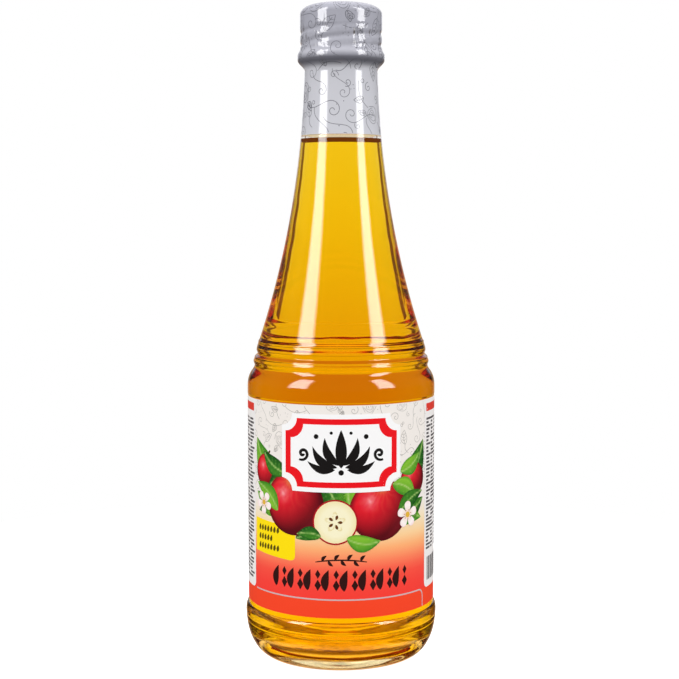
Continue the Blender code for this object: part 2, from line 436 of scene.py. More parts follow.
def makeTurnTree():
    tree, given = startTree("turnOutline", ("Sides", "Int"))
    size = putNode(tree, "GeometryNodeAttributeDomainSize", {0: given["Geometry"]}, component="MESH")
    rows = size.outputs["Point Count"]
    columns = calc(tree, "ADD", given["Sides"], 1)
    grid = putNode(
        tree, "GeometryNodeMeshGrid", {"Size X": 1, "Size Y": 1, "Vertices X": columns, "Vertices Y": rows}
    )
    row, column = gridPlace(tree, rows)
    share = calc(tree, "SUBTRACT", calc(tree, "DIVIDE", column, given["Sides"]), 0.5)
    turn = times(tree, share, fullTurn)
    outline = putNode(
        tree, "GeometryNodeSampleIndex",
        {"Geometry": given["Geometry"], "Value": placeNow(tree), "Index": row},
        data_type="FLOAT_VECTOR", domain="POINT",
    )
    point = splitUp(tree, outline.outputs["Value"])
    across = times(tree, point["X"], calc(tree, "SINE", turn))
    toBack = times(tree, point["X"], calc(tree, "COSINE", turn))
    wrapped = joined(tree, across, times(tree, toBack, -1), point["Z"])
    kept = tree.nodes.new("GeometryNodeCaptureAttribute")
    kept.capture_items.new("VECTOR", "flat")
    tree.links.new(grid.outputs["Mesh"], kept.inputs["Geometry"])
    tree.links.new(joined(tree, turn, point["Z"], 0.0), kept.inputs["flat"])
    stored = putNode(
        tree, "GeometryNodeStoreNamedAttribute",
        {
            "Geometry": moveTo(tree, kept.outputs["Geometry"], wrapped), "Name": "wrap",
            "Value": kept.outputs["flat"],
        },
        data_type="FLOAT2", domain="CORNER",
    )
    merged = putNode(
        tree, "GeometryNodeMergeByDistance", {"Geometry": stored.outputs[0], "Distance": mergeWithin}
    )
    smooth = putNode(tree, "GeometryNodeSetShadeSmooth", {"Geometry": merged.outputs[0]})
    return endTree(tree, smooth.outputs[0], given["Finish"])


def socketOf(tree, name):
    for item in tree.interface.items_tree:
        if item.name == name and item.in_out == "INPUT":
            return item.identifier


def runTree(piece, tree, settings):
    modifier = piece.modifiers.new(tree.name, "NODES")
    modifier.node_group = tree
    for name, value in settings.items():
        modifier[socketOf(tree, name)] = value
    bpy.context.view_layer.update()
    evaluated = piece.evaluated_get(bpy.context.evaluated_depsgraph_get())
    plain = bpy.data.meshes.new_from_object(evaluated)
    old = piece.data
    piece.modifiers.clear()
    piece.data = plain
    plain.name = piece.name
    bpy.data.meshes.remove(old)


def facesOutwards(piece):
    shape = bmesh.new()
    shape.from_mesh(piece.data)
    bmesh.ops.recalc_face_normals(shape, faces=shape.faces)
    shape.to_mesh(piece.data)
    shape.free()


def useMaterial(piece, material):
    piece.data.materials.clear()
    piece.data.materials.append(material)
    piece.data.polygons.foreach_set("material_index", [0] * len(piece.data.polygons))


turnTree = makeTurnTree()
sides = 192
sharpTurn, sharpPress = 40, 50  # degrees between faces, past which an edge of a piece is sharp


def turnPiece(name, outline, material, closed=False, around=sides):
    points = outline + outline[:1] if closed else outline
    mesh = bpy.data.meshes.new(name)
    mesh.from_pydata([(radius, 0, height) for radius, height in points], [], [])
    piece = newObject(name, mesh)
    runTree(piece, turnTree, {"Sides": around, "Finish": material})
    useMaterial(piece, material)
    facesOutwards(piece)
    piece.data.set_sharp_from_angle(angle=math.radians(sharpTurn))
    return piece


# glass bottle

glassSet = {
    "ringRadius": 28.4 * mm, "ringWidth": 2.2 * mm, "puntHeight": 1.4 * mm, "puntFlatness": 2,
    "bulgeRadius": 37.14 * mm, "bulgeHeight": 16.9 * mm, "bulgeTop": 3.0 * mm,
    "bodyRadius": 36.2 * mm, "panelRadius": 36.05 * mm, "panelTop": 101.3 * mm,
    "shoulderStart": 103.5 * mm, "fillet": (34.6 * mm, 110.0 * mm), "filletSlope": -0.7,
    "lowerGroove": (33.45 * mm, 112.3 * mm), "lowerCrest": (33.87 * mm, 113.9 * mm),
    "lowerCrestEdge": (33.45 * mm, 115.3 * mm), "upperGroove": (32.30 * mm, 116.9 * mm),
    "upperCrest": (32.66 * mm, 118.2 * mm), "ledge": (31.95 * mm, 121.6 * mm),
    "flareBottom": (31.50 * mm, 122.2 * mm), "flareBottomSlope": -0.329,
    "flareTop": (13.90 * mm, 224.4 * mm), "flareTopSlope": -0.028,
    "collarRadius": 16.6 * mm, "collarBottom": 228.6 * mm, "collarTop": 230.2 * mm,
    "capRadius": 15.6 * mm, "capFoot": 232.7 * mm,
    "floorHeight": 5.8 * mm, "floorEdge": (20.0 * mm, 5.0 * mm), "heelTop": (33.8 * mm, 18.0 * mm),
    "innerShoulder": 104.0 * mm, "innerFlareStart": 127.5 * mm, "flareWall": 2.5 * mm,
    "innerFlareEnd": 218.5 * mm, "boreRadius": 10.2 * mm, "boreStart": 227.0 * mm,
    "rings": [(15.0 * mm, 0.4 * mm, 0.16 * mm), (12.9 * mm, 0.4 * mm, 0.12 * mm)],
    "belowPanelTop": 0.3 * mm, "abovePanelTop": 0.4 * mm, "underSleeve": 0.1 * mm,
    "finishRadius": 13.5 * mm, "lipHeight": 246.4 * mm, "lipRounding": 1.2 * mm,
    "ior": 1.5, "tint": (0.70, 0.58, 0.15, 1), "strength": 20.0,
}


def flareRadius(height):
    return cubicRadius(
        height, glassSet["flareBottom"], glassSet["flareTop"],
        glassSet["flareBottomSlope"], glassSet["flareTopSlope"],
    )


def flareRun(bottom, top, rows):
    heights = [between(bottom, top, row / rows) for row in range(rows + 1)]
    return [(flareRadius(height), height) for height in heights]


def footOutline():
    g = glassSet
    puntEdge = g["ringRadius"] - g["ringWidth"]
    rows = 30
    shares = [row / rows for row in range(rows + 1)]
    punt = [(puntEdge * share, g["puntHeight"] * (1 - share ** g["puntFlatness"])) for share in shares]
    heel = ovalRun(
        (g["ringRadius"], g["bulgeHeight"]), g["bulgeRadius"] - g["ringRadius"], g["bulgeHeight"],
        -math.pi / 2, 0, rows=84,
    )
    step = ovalRun(
        (g["panelRadius"], g["bulgeHeight"]), g["bulgeRadius"] - g["panelRadius"], g["bulgeTop"],
        0, math.pi / 2, rows=12,
    )
    side = []
    for radius, height in heel + step[1:]:
        for middle, width, depth in g["rings"]:
            radius -= depth * math.exp(-((height - middle) / width) ** 2)
        side.append((radius, height))
    return punt + side


def shoulderOutline():
    g = glassSet
    panelTop = g["panelTop"] - g["belowPanelTop"]
    points = [(g["panelRadius"], between(g["bulgeHeight"], panelTop, row / 12)) for row in range(4, 13)]
    points += easedRun(points[-1], (g["bodyRadius"], g["panelTop"] + g["abovePanelTop"]), rows=4)
    points += cubicRun((g["bodyRadius"], g["shoulderStart"]), g["fillet"], 0, g["filletSlope"], rows=16)
    points += cubicRun(g["fillet"], g["lowerGroove"], g["filletSlope"], 0, rows=12)[1:]
    last = g["lowerGroove"]
    for name, rows in (
        ("lowerCrest", 8), ("lowerCrestEdge", 8), ("upperGroove", 10), ("upperCrest", 8), ("ledge", 14)
    ):
        points += easedRun(last, g[name], rows)
        last = g[name]
    return points


def collarRun(rows):
    g = glassSet
    points = easedRun(g["flareTop"], (g["collarRadius"], g["collarBottom"]), rows)
    points.append((g["collarRadius"], g["collarTop"]))
    return points + easedRun(points[-1], (g["capRadius"], g["capFoot"]), rows)


def insideOutline():
    g = glassSet
    floor = crownedRun(g["floorHeight"], g["floorEdge"], rows=16)
    heel = ovalRun(
        (g["floorEdge"][0], g["heelTop"][1]), g["heelTop"][0] - g["floorEdge"][0],
        g["heelTop"][1] - g["floorEdge"][1], -math.pi / 2, 0, rows=24,
    )
    flare = movedInwards(flareRun(g["innerFlareStart"], g["innerFlareEnd"], rows=48), g["flareWall"])
    slope = (flare[1][0] - flare[0][0]) / (flare[1][1] - flare[0][1])
    shoulder = cubicRun((g["heelTop"][0], g["innerShoulder"]), flare[0], 0, slope, rows=16)[:-1]
    neck = easedRun(flare[-1], (g["boreRadius"], g["boreStart"]), rows=8)
    return floor + heel[1:] + shoulder + flare + neck


def glassOutline():
    g = glassSet
    lip = [
        (g["boreRadius"], g["lipHeight"] - g["lipRounding"]),
        (g["boreRadius"] + g["lipRounding"], g["lipHeight"]),
        (g["finishRadius"] - g["lipRounding"], g["lipHeight"]),
        (g["finishRadius"], g["lipHeight"] - g["lipRounding"]),
        (g["finishRadius"], g["capFoot"]),
    ]
    under, hem = g["underSleeve"], sleeveSet["hem"]
    bare = flareRun(g["flareBottom"][1], hem - 2 * under, rows=70)
    sleeved = movedInwards(flareRun(hem - under, g["flareTop"][1], rows=16) + collarRun(8), under)[:-1]
    outside = footOutline() + shoulderOutline() + bare + sleeved
    return insideOutline() + lip + outside[::-1]


def makeGlassMaterial():
    material, tree, shader = newMaterial("clearGlass", {
        "Base Color": white, "Roughness": 0.0, "IOR": glassSet["ior"], "Transmission Weight": 1.0,
    })
    # the wet wall hardly mirrors, because drink and glass bend the light alike
    dry = putNode(tree, "ShaderNodeAttribute", attribute_name="dry").outputs["Fac"]
    tree.links.new(dry, shader.inputs["Specular Tint"])
    tintBody(tree, glassSet["tint"], glassSet["strength"])
    return material


# slight waves in the glass of the foot: long ones round it, short ones up its side and across its ring
waveSet = {
    "height": 0.11 * mm, "underHeight": 0.06 * mm, "round": 2.6, "rise": 1.5 * mm, "mean": 0.75,
    "from": 0.1 * mm, "full": 1.0 * mm, "top": 9.0 * mm, "topShare": 0.4,
    "facesDown": -0.1, "underFull": 6 * mm,
}


def makeWaveTree():
    s = waveSet
    tree, given = startTree("waveFoot", ("Height", "Float"), ("Under Height", "Float"))
    place = placeNow(tree)
    normal = putNode(tree, "GeometryNodeInputNormal").outputs[0]
    at = splitUp(tree, place)
    flat = vectorMath(tree, "MULTIPLY", {0: place, 1: (1, 1, 0)})
    radius = lengthOf(tree, flat)
    around = splitUp(tree, vectorMath(tree, "NORMALIZE", {0: flat}))
    up = calc(tree, "DIVIDE", calc(tree, "SUBTRACT", at["Z"], radius), s["rise"])
    along = joined(tree, times(tree, around["X"], s["round"]), times(tree, around["Y"], s["round"]), up)
    noise = calc(tree, "SUBTRACT", noiseOn(tree, along, 1.0), s["mean"])
    above = smoothBetween(tree, at["Z"], s["from"], s["full"])
    below = smoothBetween(tree, at["Z"], s["top"], s["topShare"] * s["top"])
    outwards = vectorMath(tree, "DOT_PRODUCT", {0: normal, 1: flat}, "Value")
    onHeel = times(tree, calc(tree, "GREATER_THAN", outwards, 0.0), times(tree, above, below))
    down = splitUp(tree, normal)["Z"]
    under = times(
        tree, calc(tree, "LESS_THAN", down, s["facesDown"]), calc(tree, "LESS_THAN", outwards, 0.0),
        smoothBetween(tree, radius, 0.0, s["underFull"]),
    )
    amount = times(tree, onHeel, given["Height"])
    amount = calc(tree, "MULTIPLY_ADD", under, given["Under Height"], amount)
    shift = scaled(tree, normal, times(tree, amount, noise))
    waved = putNode(tree, "GeometryNodeSetPosition", {"Geometry": given["Geometry"], "Offset": shift})
    return endTree(tree, waved.outputs[0], given["Finish"])


def markDryFaces(piece):
    dry = []
    for face in piece.data.polygons:
        place = face.center
        towardsAxis = face.normal.x * place.x + face.normal.y * place.y < 0
        onFloor = face.normal.z > 0 and place.z < glassSet["heelTop"][1]
        inside = towardsAxis or (onFloor and math.hypot(place.x, place.y) < glassSet["heelTop"][0])
        dry.append(0.0 if inside and place.z < vinegarSet["level"] else 1.0)
    piece.data.attributes.new("dry", "FLOAT", "FACE").data.foreach_set("value", dry)


# vinegar: reaches a little way into the wall, so the light meets glass and drink with no air between

vinegarSet = {
    "level": 198.7 * mm, "flatLevel": 196.9 * mm, "intoWall": 0.15 * mm, "underLevel": 0.5 * mm,
    "rimWidth": 5.0 * mm, "rimPower": 3.2, "rimRows": 24, "rimSpread": 1.5,
    "ior": 1.336, "tint": (0.98125, 0.91975, 0.02, 1), "strength": 160.0, "surface": (1.0, 0.79, 0.45, 1),
    # painted light: the drink's rim glows dim brown in place of the light that falls on its meniscus
    "rimGlow": (0.15, 0.036, 0.003, 1), "rimShown": 0.55, "rimFacesUp": 0.02,
}


def vinegarOutline():
    v = vinegarSet
    walls = movedInwards(insideOutline(), -v["intoWall"])
    wet = [point for point in walls if point[1] < v["level"] - v["underLevel"]]
    edge = flareRadius(v["level"]) - glassSet["flareWall"] + v["intoWall"]
    rim = []
    for row in range(v["rimRows"] + 1):
        share = (row / v["rimRows"]) ** v["rimSpread"]
        fall = (1 - share) ** v["rimPower"]
        rim.append((edge - v["rimWidth"] * share, between(v["flatLevel"], v["level"], fall)))
    return wet + rim + [(0, v["flatLevel"])]


def makeVinegarMaterial():
    material, tree, shader = newMaterial("goldenVinegar", {
        "Base Color": vinegarSet["surface"], "Specular Tint": black, "Roughness": 0.0,
        "IOR": vinegarSet["ior"], "Transmission Weight": 1.0,
    })
    tintBody(tree, vinegarSet["tint"], vinegarSet["strength"])
    return material


# sleeve and cap: film shrunk over a screw cap, with the cap's thread pressed into both

sleeveSet = {
    "hem": 200.0 * mm, "thickness": 0.07 * mm, "topOpening": 10.8 * mm,
    "edgeStart": 245.6 * mm, "edgeHeight": 3.8 * mm, "edgeWidth": 7.0 * mm,
}
capSet = {
    "gap": 0.02 * mm, "wall": 0.25 * mm, "topWall": 0.5 * mm, "bottom": 233.0 * mm, "rows": 64,
    "tone": (0.78, 0.78, 0.8, 1), "roughness": 0.3,
}
threadSet = {
    "start": 233.8 * mm, "pitch": 4.6 * mm, "top": 241.2 * mm, "depth": 0.38 * mm,
    "starts": 2, "sharpness": 1.8, "fadeIn": 0.9 * mm, "fadeOut": 2.6 * mm,
}
# creases of the film: long ones that run up the cap's side, small ones round its top edge, and short
# pleats where it is drawn over the thread; each inner dictionary gives the grain of one kind
creaseSet = {
    "depth": 0.09 * mm, "low": 229.0 * mm, "high": 247.5 * mm, "sideRise": 3 * mm, "threadRise": 2 * mm,
    "sideOver": 1 * mm, "sideFall": 4 * mm, "threadOver": 1 * mm, "edgeRise": 2 * mm, "leastRadius": 1 * mm,
    "smallStrength": 2.0, "pleatStrength": 0.65,
    "long": {"width": 1.3 * mm, "height": 12 * mm, "detail": 2.0, "from": 0.48, "full": 0.72},
    "small": {"width": 1.3 * mm, "height": 3 * mm, "detail": 2.0, "from": 0.4, "full": 0.75},
    "pleats": {"width": 0.8 * mm, "height": 2.2 * mm, "detail": 1.0, "from": 0.35, "full": 0.7},
}


def capRun(rows):
    g, s = glassSet, sleeveSet
    side = [(g["capRadius"], between(g["capFoot"], s["edgeStart"], row / rows)) for row in range(1, rows)]
    centre = g["capRadius"] - s["edgeWidth"]
    reach = math.acos((s["topOpening"] - centre) / s["edgeWidth"])
    return side + ovalRun((centre, s["edgeStart"]), s["edgeWidth"], s["edgeHeight"], 0, reach, rows=18)


def sleeveOutline():
    outer = flareRun(sleeveSet["hem"], glassSet["flareTop"][1], rows=20)
    outer += collarRun(10) + capRun(capSet["rows"])
    return outer + movedInwards(outer, sleeveSet["thickness"])[::-1]


def capOutline():
    outer = movedInwards(capRun(capSet["rows"]), sleeveSet["thickness"] + capSet["gap"])
    outer = [point for point in outer if point[1] > capSet["bottom"]]
    top = outer[-1][1]
    inner = [(radius - capSet["wall"], height) for radius, height in outer if height < sleeveSet["edgeStart"]]
    return [(0, top - capSet["topWall"])] + inner[::-1] + outer + [(0, top)]


def creased(tree, place, kind):
    stretch = (1 / kind["width"], 1 / kind["width"], 1 / kind["height"])
    noise = noiseOn(tree, vectorMath(tree, "MULTIPLY", {0: place, 1: stretch}), kind["detail"])
    return smoothBetween(tree, noise, kind["from"], kind["full"])


def makeReliefTree():
    g, t, c = glassSet, threadSet, creaseSet
    tree, given = startTree("pressThread", ("Depth", "Float"), ("Creases", "Float"))
    place = placeNow(tree)
    at = splitUp(tree, place)
    radius = lengthOf(tree, vectorMath(tree, "MULTIPLY", {0: place, 1: (1, 1, 0)}))
    turn = calc(tree, "ADD", calc(tree, "ARCTAN2", at["Y"], at["X"]), math.pi)
    climb = times(tree, calc(tree, "SUBTRACT", at["Z"], t["start"]), fullTurn / t["pitch"])
    wave = calc(tree, "COSINE", calc(tree, "SUBTRACT", climb, times(tree, turn, t["starts"])))
    wave = calc(tree, "POWER", calc(tree, "MULTIPLY_ADD", wave, 0.5, 0.5), t["sharpness"])
    fadeIn = calc(tree, "DIVIDE", calc(tree, "SUBTRACT", at["Z"], g["capFoot"]), t["fadeIn"], clamp=True)
    fadeOut = calc(tree, "DIVIDE", calc(tree, "SUBTRACT", t["top"], at["Z"]), t["fadeOut"], clamp=True)
    relief = times(tree, wave, calc(tree, "MINIMUM", fadeIn, fadeOut), given["Depth"])
    onSide = times(
        tree, smoothBetween(tree, at["Z"], c["low"], c["low"] + c["sideRise"]),
        smoothBetween(tree, at["Z"], c["high"] + c["sideOver"], c["high"] - c["sideFall"]),
    )
    onThread = times(
        tree, smoothBetween(tree, at["Z"], c["low"], c["low"] + c["threadRise"]),
        smoothBetween(tree, at["Z"], t["top"] + c["threadOver"], t["top"] - c["threadOver"]),
    )
    onEdge = smoothBetween(tree, at["Z"], c["high"] - c["edgeRise"], c["high"])
    long = times(tree, creased(tree, place, c["long"]), onSide)
    small = times(tree, creased(tree, place, c["small"]), onEdge)
    pleats = times(tree, creased(tree, place, c["pleats"]), onThread, c["pleatStrength"])
    crease = calc(tree, "MULTIPLY_ADD", small, c["smallStrength"], calc(tree, "ADD", long, pleats))
    crease = times(tree, crease, given["Creases"])
    safeRadius = calc(tree, "MAXIMUM", radius, c["leastRadius"])
    kept = restOf(tree, calc(tree, "DIVIDE", calc(tree, "ADD", relief, crease), safeRadius))
    moved = vectorMath(tree, "MULTIPLY", {0: place, 1: joined(tree, kept, kept, 1.0)})
    return endTree(tree, moveTo(tree, given["Geometry"], moved), given["Finish"])


def pressPiece(piece, material, creases):
    runTree(piece, reliefTree, {"Depth": threadSet["depth"], "Creases": creases, "Finish": material})
    useMaterial(piece, material)
    facesOutwards(piece)
    piece.data.set_sharp_from_angle(angle=math.radians(sharpPress))


reliefTree = makeReliefTree()
# the film is darker over the metal cap than over the neck, where its lighter tone is partly painted light
# shining through the glass behind it; the darkest band, in the fold under the collar, is painted shade
filmSet = {
    "backGlow": (0.80, 0.66, 0.42, 1), "line": paint(112, 112, 120), "roughness": 0.6, "sheen": 0.1,
    "coat": 1.0, "foldCoat": 0.2, "coatRoughness": 0.03, "foldFacesDown": -0.35,
    "bands": [
        (200, (204, 204, 211)), (222, (203, 203, 210)), (225.3, (208, 208, 215)),
        (226.4, (152, 152, 161)), (227.2, (116, 116, 125)), (228.4, (112, 112, 121)),
        (229.2, (154, 154, 164)), (230.2, (184, 184, 193)), (232, (176, 176, 186)),
        (242, (170, 170, 181)), (250, (170, 170, 181)),
    ],
}


def bandedTone(tree, height, bands):
    # bands are (height in mm, tone) from the lowest to the highest
    low, high = bands[0][0] * mm, bands[-1][0] * mm
    share = putNode(tree, "ShaderNodeMapRange", {"Value": height, "From Min": low, "From Max": high})
    ramp = tree.nodes.new("ShaderNodeValToRGB")
    stops = ramp.color_ramp.elements
    for index, (at, tone) in enumerate(bands):
        where = (at * mm - low) / (high - low)
        stop = stops[index] if index < 2 else stops.new(where)
        stop.position = where
        stop.color = paint(*tone)
    tree.links.new(share.outputs["Result"], ramp.inputs["Fac"])
    return ramp.outputs["Color"]


def makeFilmMaterial(name, tone=None, coat=filmSet["coat"]):
    material, tree, shader = newMaterial(name, {
        "Roughness": filmSet["roughness"], "Specular IOR Level": filmSet["sheen"],
        "Coat Weight": coat, "Coat Roughness": filmSet["coatRoughness"],
    })
    if tone:
        shader.inputs["Base Color"].default_value = tone
    else:
        height = splitUp(tree, onPiece(tree))["Z"]
        tree.links.new(bandedTone(tree, height, filmSet["bands"]), shader.inputs["Base Color"])
    return material


def makeCapMaterial():
    return newMaterial("capAluminium", {
        "Base Color": capSet["tone"], "Metallic": 1.0, "Roughness": capSet["roughness"],
    })[0]


# label paper, printed in bands of colour

labelSet = {
    "bottom": 21.7 * mm, "top": 100.7 * mm, "inner": 36.06 * mm, "outer": 36.14 * mm, "rows": 8,
    "backTop": (0.82, 0.54, 0.29, 1), "backFoot": (0.17, 0.075, 0.0, 1),
    "backFrom": 30 * mm, "backTo": 78 * mm,
    "bands": [
        (21.7, (248, 68, 34)), (28.4, (249, 70, 37)), (28.8, (249, 62, 52)), (33, (249, 66, 56)),
        (37.5, (250, 80, 64)), (40, (252, 101, 76)), (43, (254, 132, 92)), (47.5, (255, 176, 116)),
        (51.5, (252, 208, 152)), (57, (246, 226, 190)), (63, (241, 234, 228)), (100.7, (241, 235, 229)),
    ],
}
paperLooks = {"Roughness": 0.5, "Specular IOR Level": 0.08}
glowLooks = {"Base Color": black, "Roughness": 0.8, "Emission Strength": 1.0}


def labelOutline():
    s = labelSet
    heights = [between(s["bottom"], s["top"], row / s["rows"]) for row in range(s["rows"] + 1)]
    return [(s["outer"], height) for height in heights] + [(s["inner"], height) for height in heights[::-1]]


def makeLabelMaterial():
    material, tree, shader = newMaterial("printedLabel", paperLooks)
    height = splitUp(tree, putNode(tree, "ShaderNodeUVMap", uv_map="wrap").outputs[0])["Y"]
    tree.links.new(bandedTone(tree, height, labelSet["bands"]), shader.inputs["Base Color"])
    return material


def makeGlowMaterial(name, tone):
    return newMaterial(name, {**glowLooks, "Specular IOR Level": 0.0, "Emission Color": tone})[0]


def makeLabelBackMaterial():
    material, tree, shader = newMaterial("labelBack", glowLooks)
    # daylight comes through the paper where its print is pale, and hardly where it is red
    height = splitUp(tree, onPiece(tree))["Z"]
    pale = smoothBetween(tree, height, labelSet["backFrom"], labelSet["backTo"])
    glow = mixedColour(tree, pale, labelSet["backFoot"], labelSet["backTop"])
    tree.links.new(glow, shader.inputs["Emission Color"])
    return material


def addMaterialWhere(piece, material, isPart):
    piece.data.materials.append(material)
    for face in piece.data.polygons:
        if isPart(face.center, face.normal):
            face.material_index = len(piece.data.materials) - 1


# prints: drawn flat in millimetres, to the right of the front and up from the table, then wrapped
# a sheet gathers the points, faces, tones and lifts of one print

def addFace(sheet, points, tones, lift, faces):
    first = len(sheet["points"])
    sheet["points"] += points
    sheet["tones"] += tones
    sheet["lifts"] += [lift] * len(points)
    for face in faces:
        (ax, ay), (bx, by), (cx, cy) = (points[corner] for corner in face[:3])
        turned = (bx - ax) * (cy - ay) - (by - ay) * (cx - ax) < 0
        ordered = face[::-1] if turned else face
        sheet["faces"].append([first + corner for corner in ordered])


def isInside(point, outline):
    inside = False
    for index, (ax, ay) in enumerate(outline):
        bx, by = outline[index - 1]
        if (ay > point[1]) != (by > point[1]) and point[0] < (bx - ax) * (point[1] - ay) / (by - ay) + ax:
            inside = not inside
    return inside


def fartherThan(point, outline, distance):
    return all(math.hypot(point[0] - x, point[1] - y) > distance for x, y in outline)


def evenly(outline, step):
    points = []
    for index, start in enumerate(outline):
        end = outline[(index + 1) % len(outline)]
        count = max(1, round(math.hypot(end[0] - start[0], end[1] - start[1]) / step))
        for part in range(count):
            points.append((between(start[0], end[0], part / count), between(start[1], end[1], part / count)))
    return points


def addPatch(sheet, outline, tone, lift, step=1.1):
    edge = evenly(outline, step)
    low = [min(point[axis] for point in edge) for axis in range(2)]
    high = [max(point[axis] for point in edge) for axis in range(2)]
    inner = []
    row = 0
    height = low[1] + 0.5 * step
    while height < high[1]:
        across = low[0] + (0.5 if row % 2 else 0.25) * step
        while across < high[0]:
            point = (across, height)
            if isInside(point, edge) and fartherThan(point, edge, 0.45 * step):
                inner.append(point)
            across += step
        height += 0.87 * step
        row += 1
    corners = [mathutils.Vector(point) for point in edge + inner]
    made = mathutils.geometry.delaunay_2d_cdt(corners, [], [list(range(len(edge)))], 1, 1e-7)
    points = [(point.x, point.y) for point in made[0]]
    tones = [paint(*(tone(point) if callable(tone) else tone)) for point in points]
    addFace(sheet, points, tones, lift, [list(face) for face in made[2]])


def addRibbon(sheet, line, width, tone=(0, 0, 0), lift=0.0, thinEnds=0.0):
    points = []
    for index, point in enumerate(line):
        before = line[max(index - 1, 0)]
        after = line[min(index + 1, len(line) - 1)]
        runX, runY = after[0] - before[0], after[1] - before[1]
        length = math.hypot(runX, runY) or 1
        share = index / (len(line) - 1)
        half = width / 2 * (1 - thinEnds * abs(2 * share - 1) ** 3)
        points.append((point[0] - runY / length * half, point[1] + runX / length * half))
        points.append((point[0] + runY / length * half, point[1] - runX / length * half))
    faces = []
    for index in range(len(line) - 1):
        faces.append([2 * index, 2 * index + 1, 2 * index + 3, 2 * index + 2])
    addFace(sheet, points, [paint(*tone)] * len(points), lift, faces)


def makePrint(name, drawing, material, wrapped=True):
    sheet = {"points": [], "faces": [], "tones": [], "lifts": []}
    drawing(sheet)
    radius = labelSet["outer"]
    if wrapped:
        places = []
        for (across, height), lift in zip(sheet["points"], sheet["lifts"]):
            turn = across * mm / radius
            out = radius + lift
            places.append((out * math.sin(turn), -out * math.cos(turn), height * mm))
    else:
        places = [(across * mm, height * mm, 0) for across, height in sheet["points"]]
    mesh = bpy.data.meshes.new(name)
    mesh.from_pydata(places, [], sheet["faces"])
    colours = mesh.color_attributes.new("ink", "FLOAT_COLOR", "POINT")
    colours.data.foreach_set("color", np.array(sheet["tones"], dtype=np.float32).ravel())
    mesh.materials.append(material)
    mesh.shade_smooth()
    return newObject(name, mesh)


def makeInkMaterial():
    material, tree, shader = newMaterial("labelInk", paperLooks)
    ink = putNode(tree, "ShaderNodeVertexColor", layer_name="ink").outputs["Color"]
    tree.links.new(ink, shader.inputs["Base Color"])
    return material


def makePlainInk(name, tone):
    return newMaterial(name, {"Base Color": tone, **paperLooks})[0]


# outlines of drawn shapes

def ringOf(centre, width, height, count=40, start=0.0, end=fullTurn):
    whole = end - start >= fullTurn
    points = []
    for step in range(count if whole else count + 1):
        turn = between(start, end, step / count)
        points.append((centre[0] + width * math.cos(turn), centre[1] + height * math.sin(turn)))
    return points


def addDot(sheet, centre, radius, tone, lift, count, step):
    addPatch(sheet, ringOf(centre, radius, radius, count), tone, lift, step)


def bentLine(start, end, bend, count=16):
    runX, runY = end[0] - start[0], end[1] - start[1]
    points = []
    for step in range(count + 1):
        share = step / count
        aside = 4 * bend * share * (1 - share)
        points.append((start[0] + runX * share - runY * aside, start[1] + runY * share + runX * aside))
    return points


def leafWidth(share):
    return math.sin(math.pi * share ** 0.8) ** 0.9


def leafEdge(start, end, width, bend=0.0, count=14):
    middle = bentLine(start, end, bend, count)
    runX, runY = end[0] - start[0], end[1] - start[1]
    length = math.hypot(runX, runY)
    left, right = [], []
    for step, (x, y) in enumerate(middle[:-1]):
        half = width / 2 * leafWidth(step / count)
        left.append((x - runY / length * half, y + runX / length * half))
        right.append((x + runY / length * half, y - runX / length * half))
    return right + [middle[-1]] + left[:0:-1]


def spiralLine(centre, small, large, turns, start=0.0, count=60, flip=1):
    points = []
    for step in range(count + 1):
        share = step / count
        radius = small * (large / small) ** share
        turn = start + flip * fullTurn * turns * share
        points.append((centre[0] + radius * math.cos(turn), centre[1] + radius * math.sin(turn)))
    return points


def closedLine(outline):
    return outline + outline[:1]


# scroll motifs for the film and the label's upper part, each about 9 mm across, drawn in thin lines

scrollSet = {
    "line": 0.2, "ink": (0, 0, 0),
    "leafRows": 20, "midribRows": 16, "veinRows": (5, 9, 13), "veinReach": 0.34, "veinForward": 0.9,
    "veinBend": 0.1, "veinLine": 0.8, "dotRows": 8, "dotStep": 0.3,
}


def drawnLine(sheet, line, share=1.0):
    addRibbon(sheet, line, scrollSet["line"] * share)


def drawnDot(sheet, centre, radius):
    addDot(sheet, centre, radius, scrollSet["ink"], 0, scrollSet["dotRows"], scrollSet["dotStep"])


def drawnLeaf(sheet, start, end, width, bend=0.1):
    s = scrollSet
    drawnLine(sheet, closedLine(leafEdge(start, end, width, bend, s["leafRows"])))
    middle = bentLine(start, end, bend, s["leafRows"])
    drawnLine(sheet, middle[:s["midribRows"] + 1])
    runX, runY = end[0] - start[0], end[1] - start[1]
    length = math.hypot(runX, runY)
    for step in s["veinRows"]:
        reach = width * s["veinReach"] * leafWidth(step / s["leafRows"])
        x, y = middle[step]
        for side in (-1, 1):
            tip = (
                x + runX / length * reach * s["veinForward"] - side * runY / length * reach,
                y + runY / length * reach * s["veinForward"] + side * runX / length * reach,
            )
            drawnLine(sheet, bentLine((x, y), tip, s["veinBend"] * side, 5), s["veinLine"])


def tailOf(curl, way, length, bend, count=26):
    # goes on from the outer end of a curl, in the direction it has there
    (x, y), (nearX, nearY) = curl[-1], curl[-3]
    turn = math.atan2(y - nearY, x - nearX)
    points = [(x, y)]
    for step in range(count):
        turn += way * bend * (step / count - 0.25) / count
        x += length / count * math.cos(turn)
        y += length / count * math.sin(turn)
        points.append((x, y))
    return points


def curlMotif(sheet):
    curl = spiralLine((0.8, 1.0), 0.5, 3.4, 1.35, 0.4)
    drawnLine(sheet, curl)
    drawnLine(sheet, tailOf(curl, -1, 8.5, 4.0))
    drawnDot(sheet, (4.6, -2.6), 0.2)


def twinCurlMotif(sheet):
    large = spiralLine((-1.4, 1.2), 0.4, 2.6, 1.3, 2.2, 50)
    drawnLine(sheet, large)
    drawnLine(sheet, tailOf(large, -1, 6.0, 5.0))
    drawnLine(sheet, spiralLine((3.3, -2.6), 0.3, 1.5, 1.2, 0.6, 40, -1))
    drawnLine(sheet, closedLine(ringOf((3.4, 2.8), 0.6, 0.6, 16)))


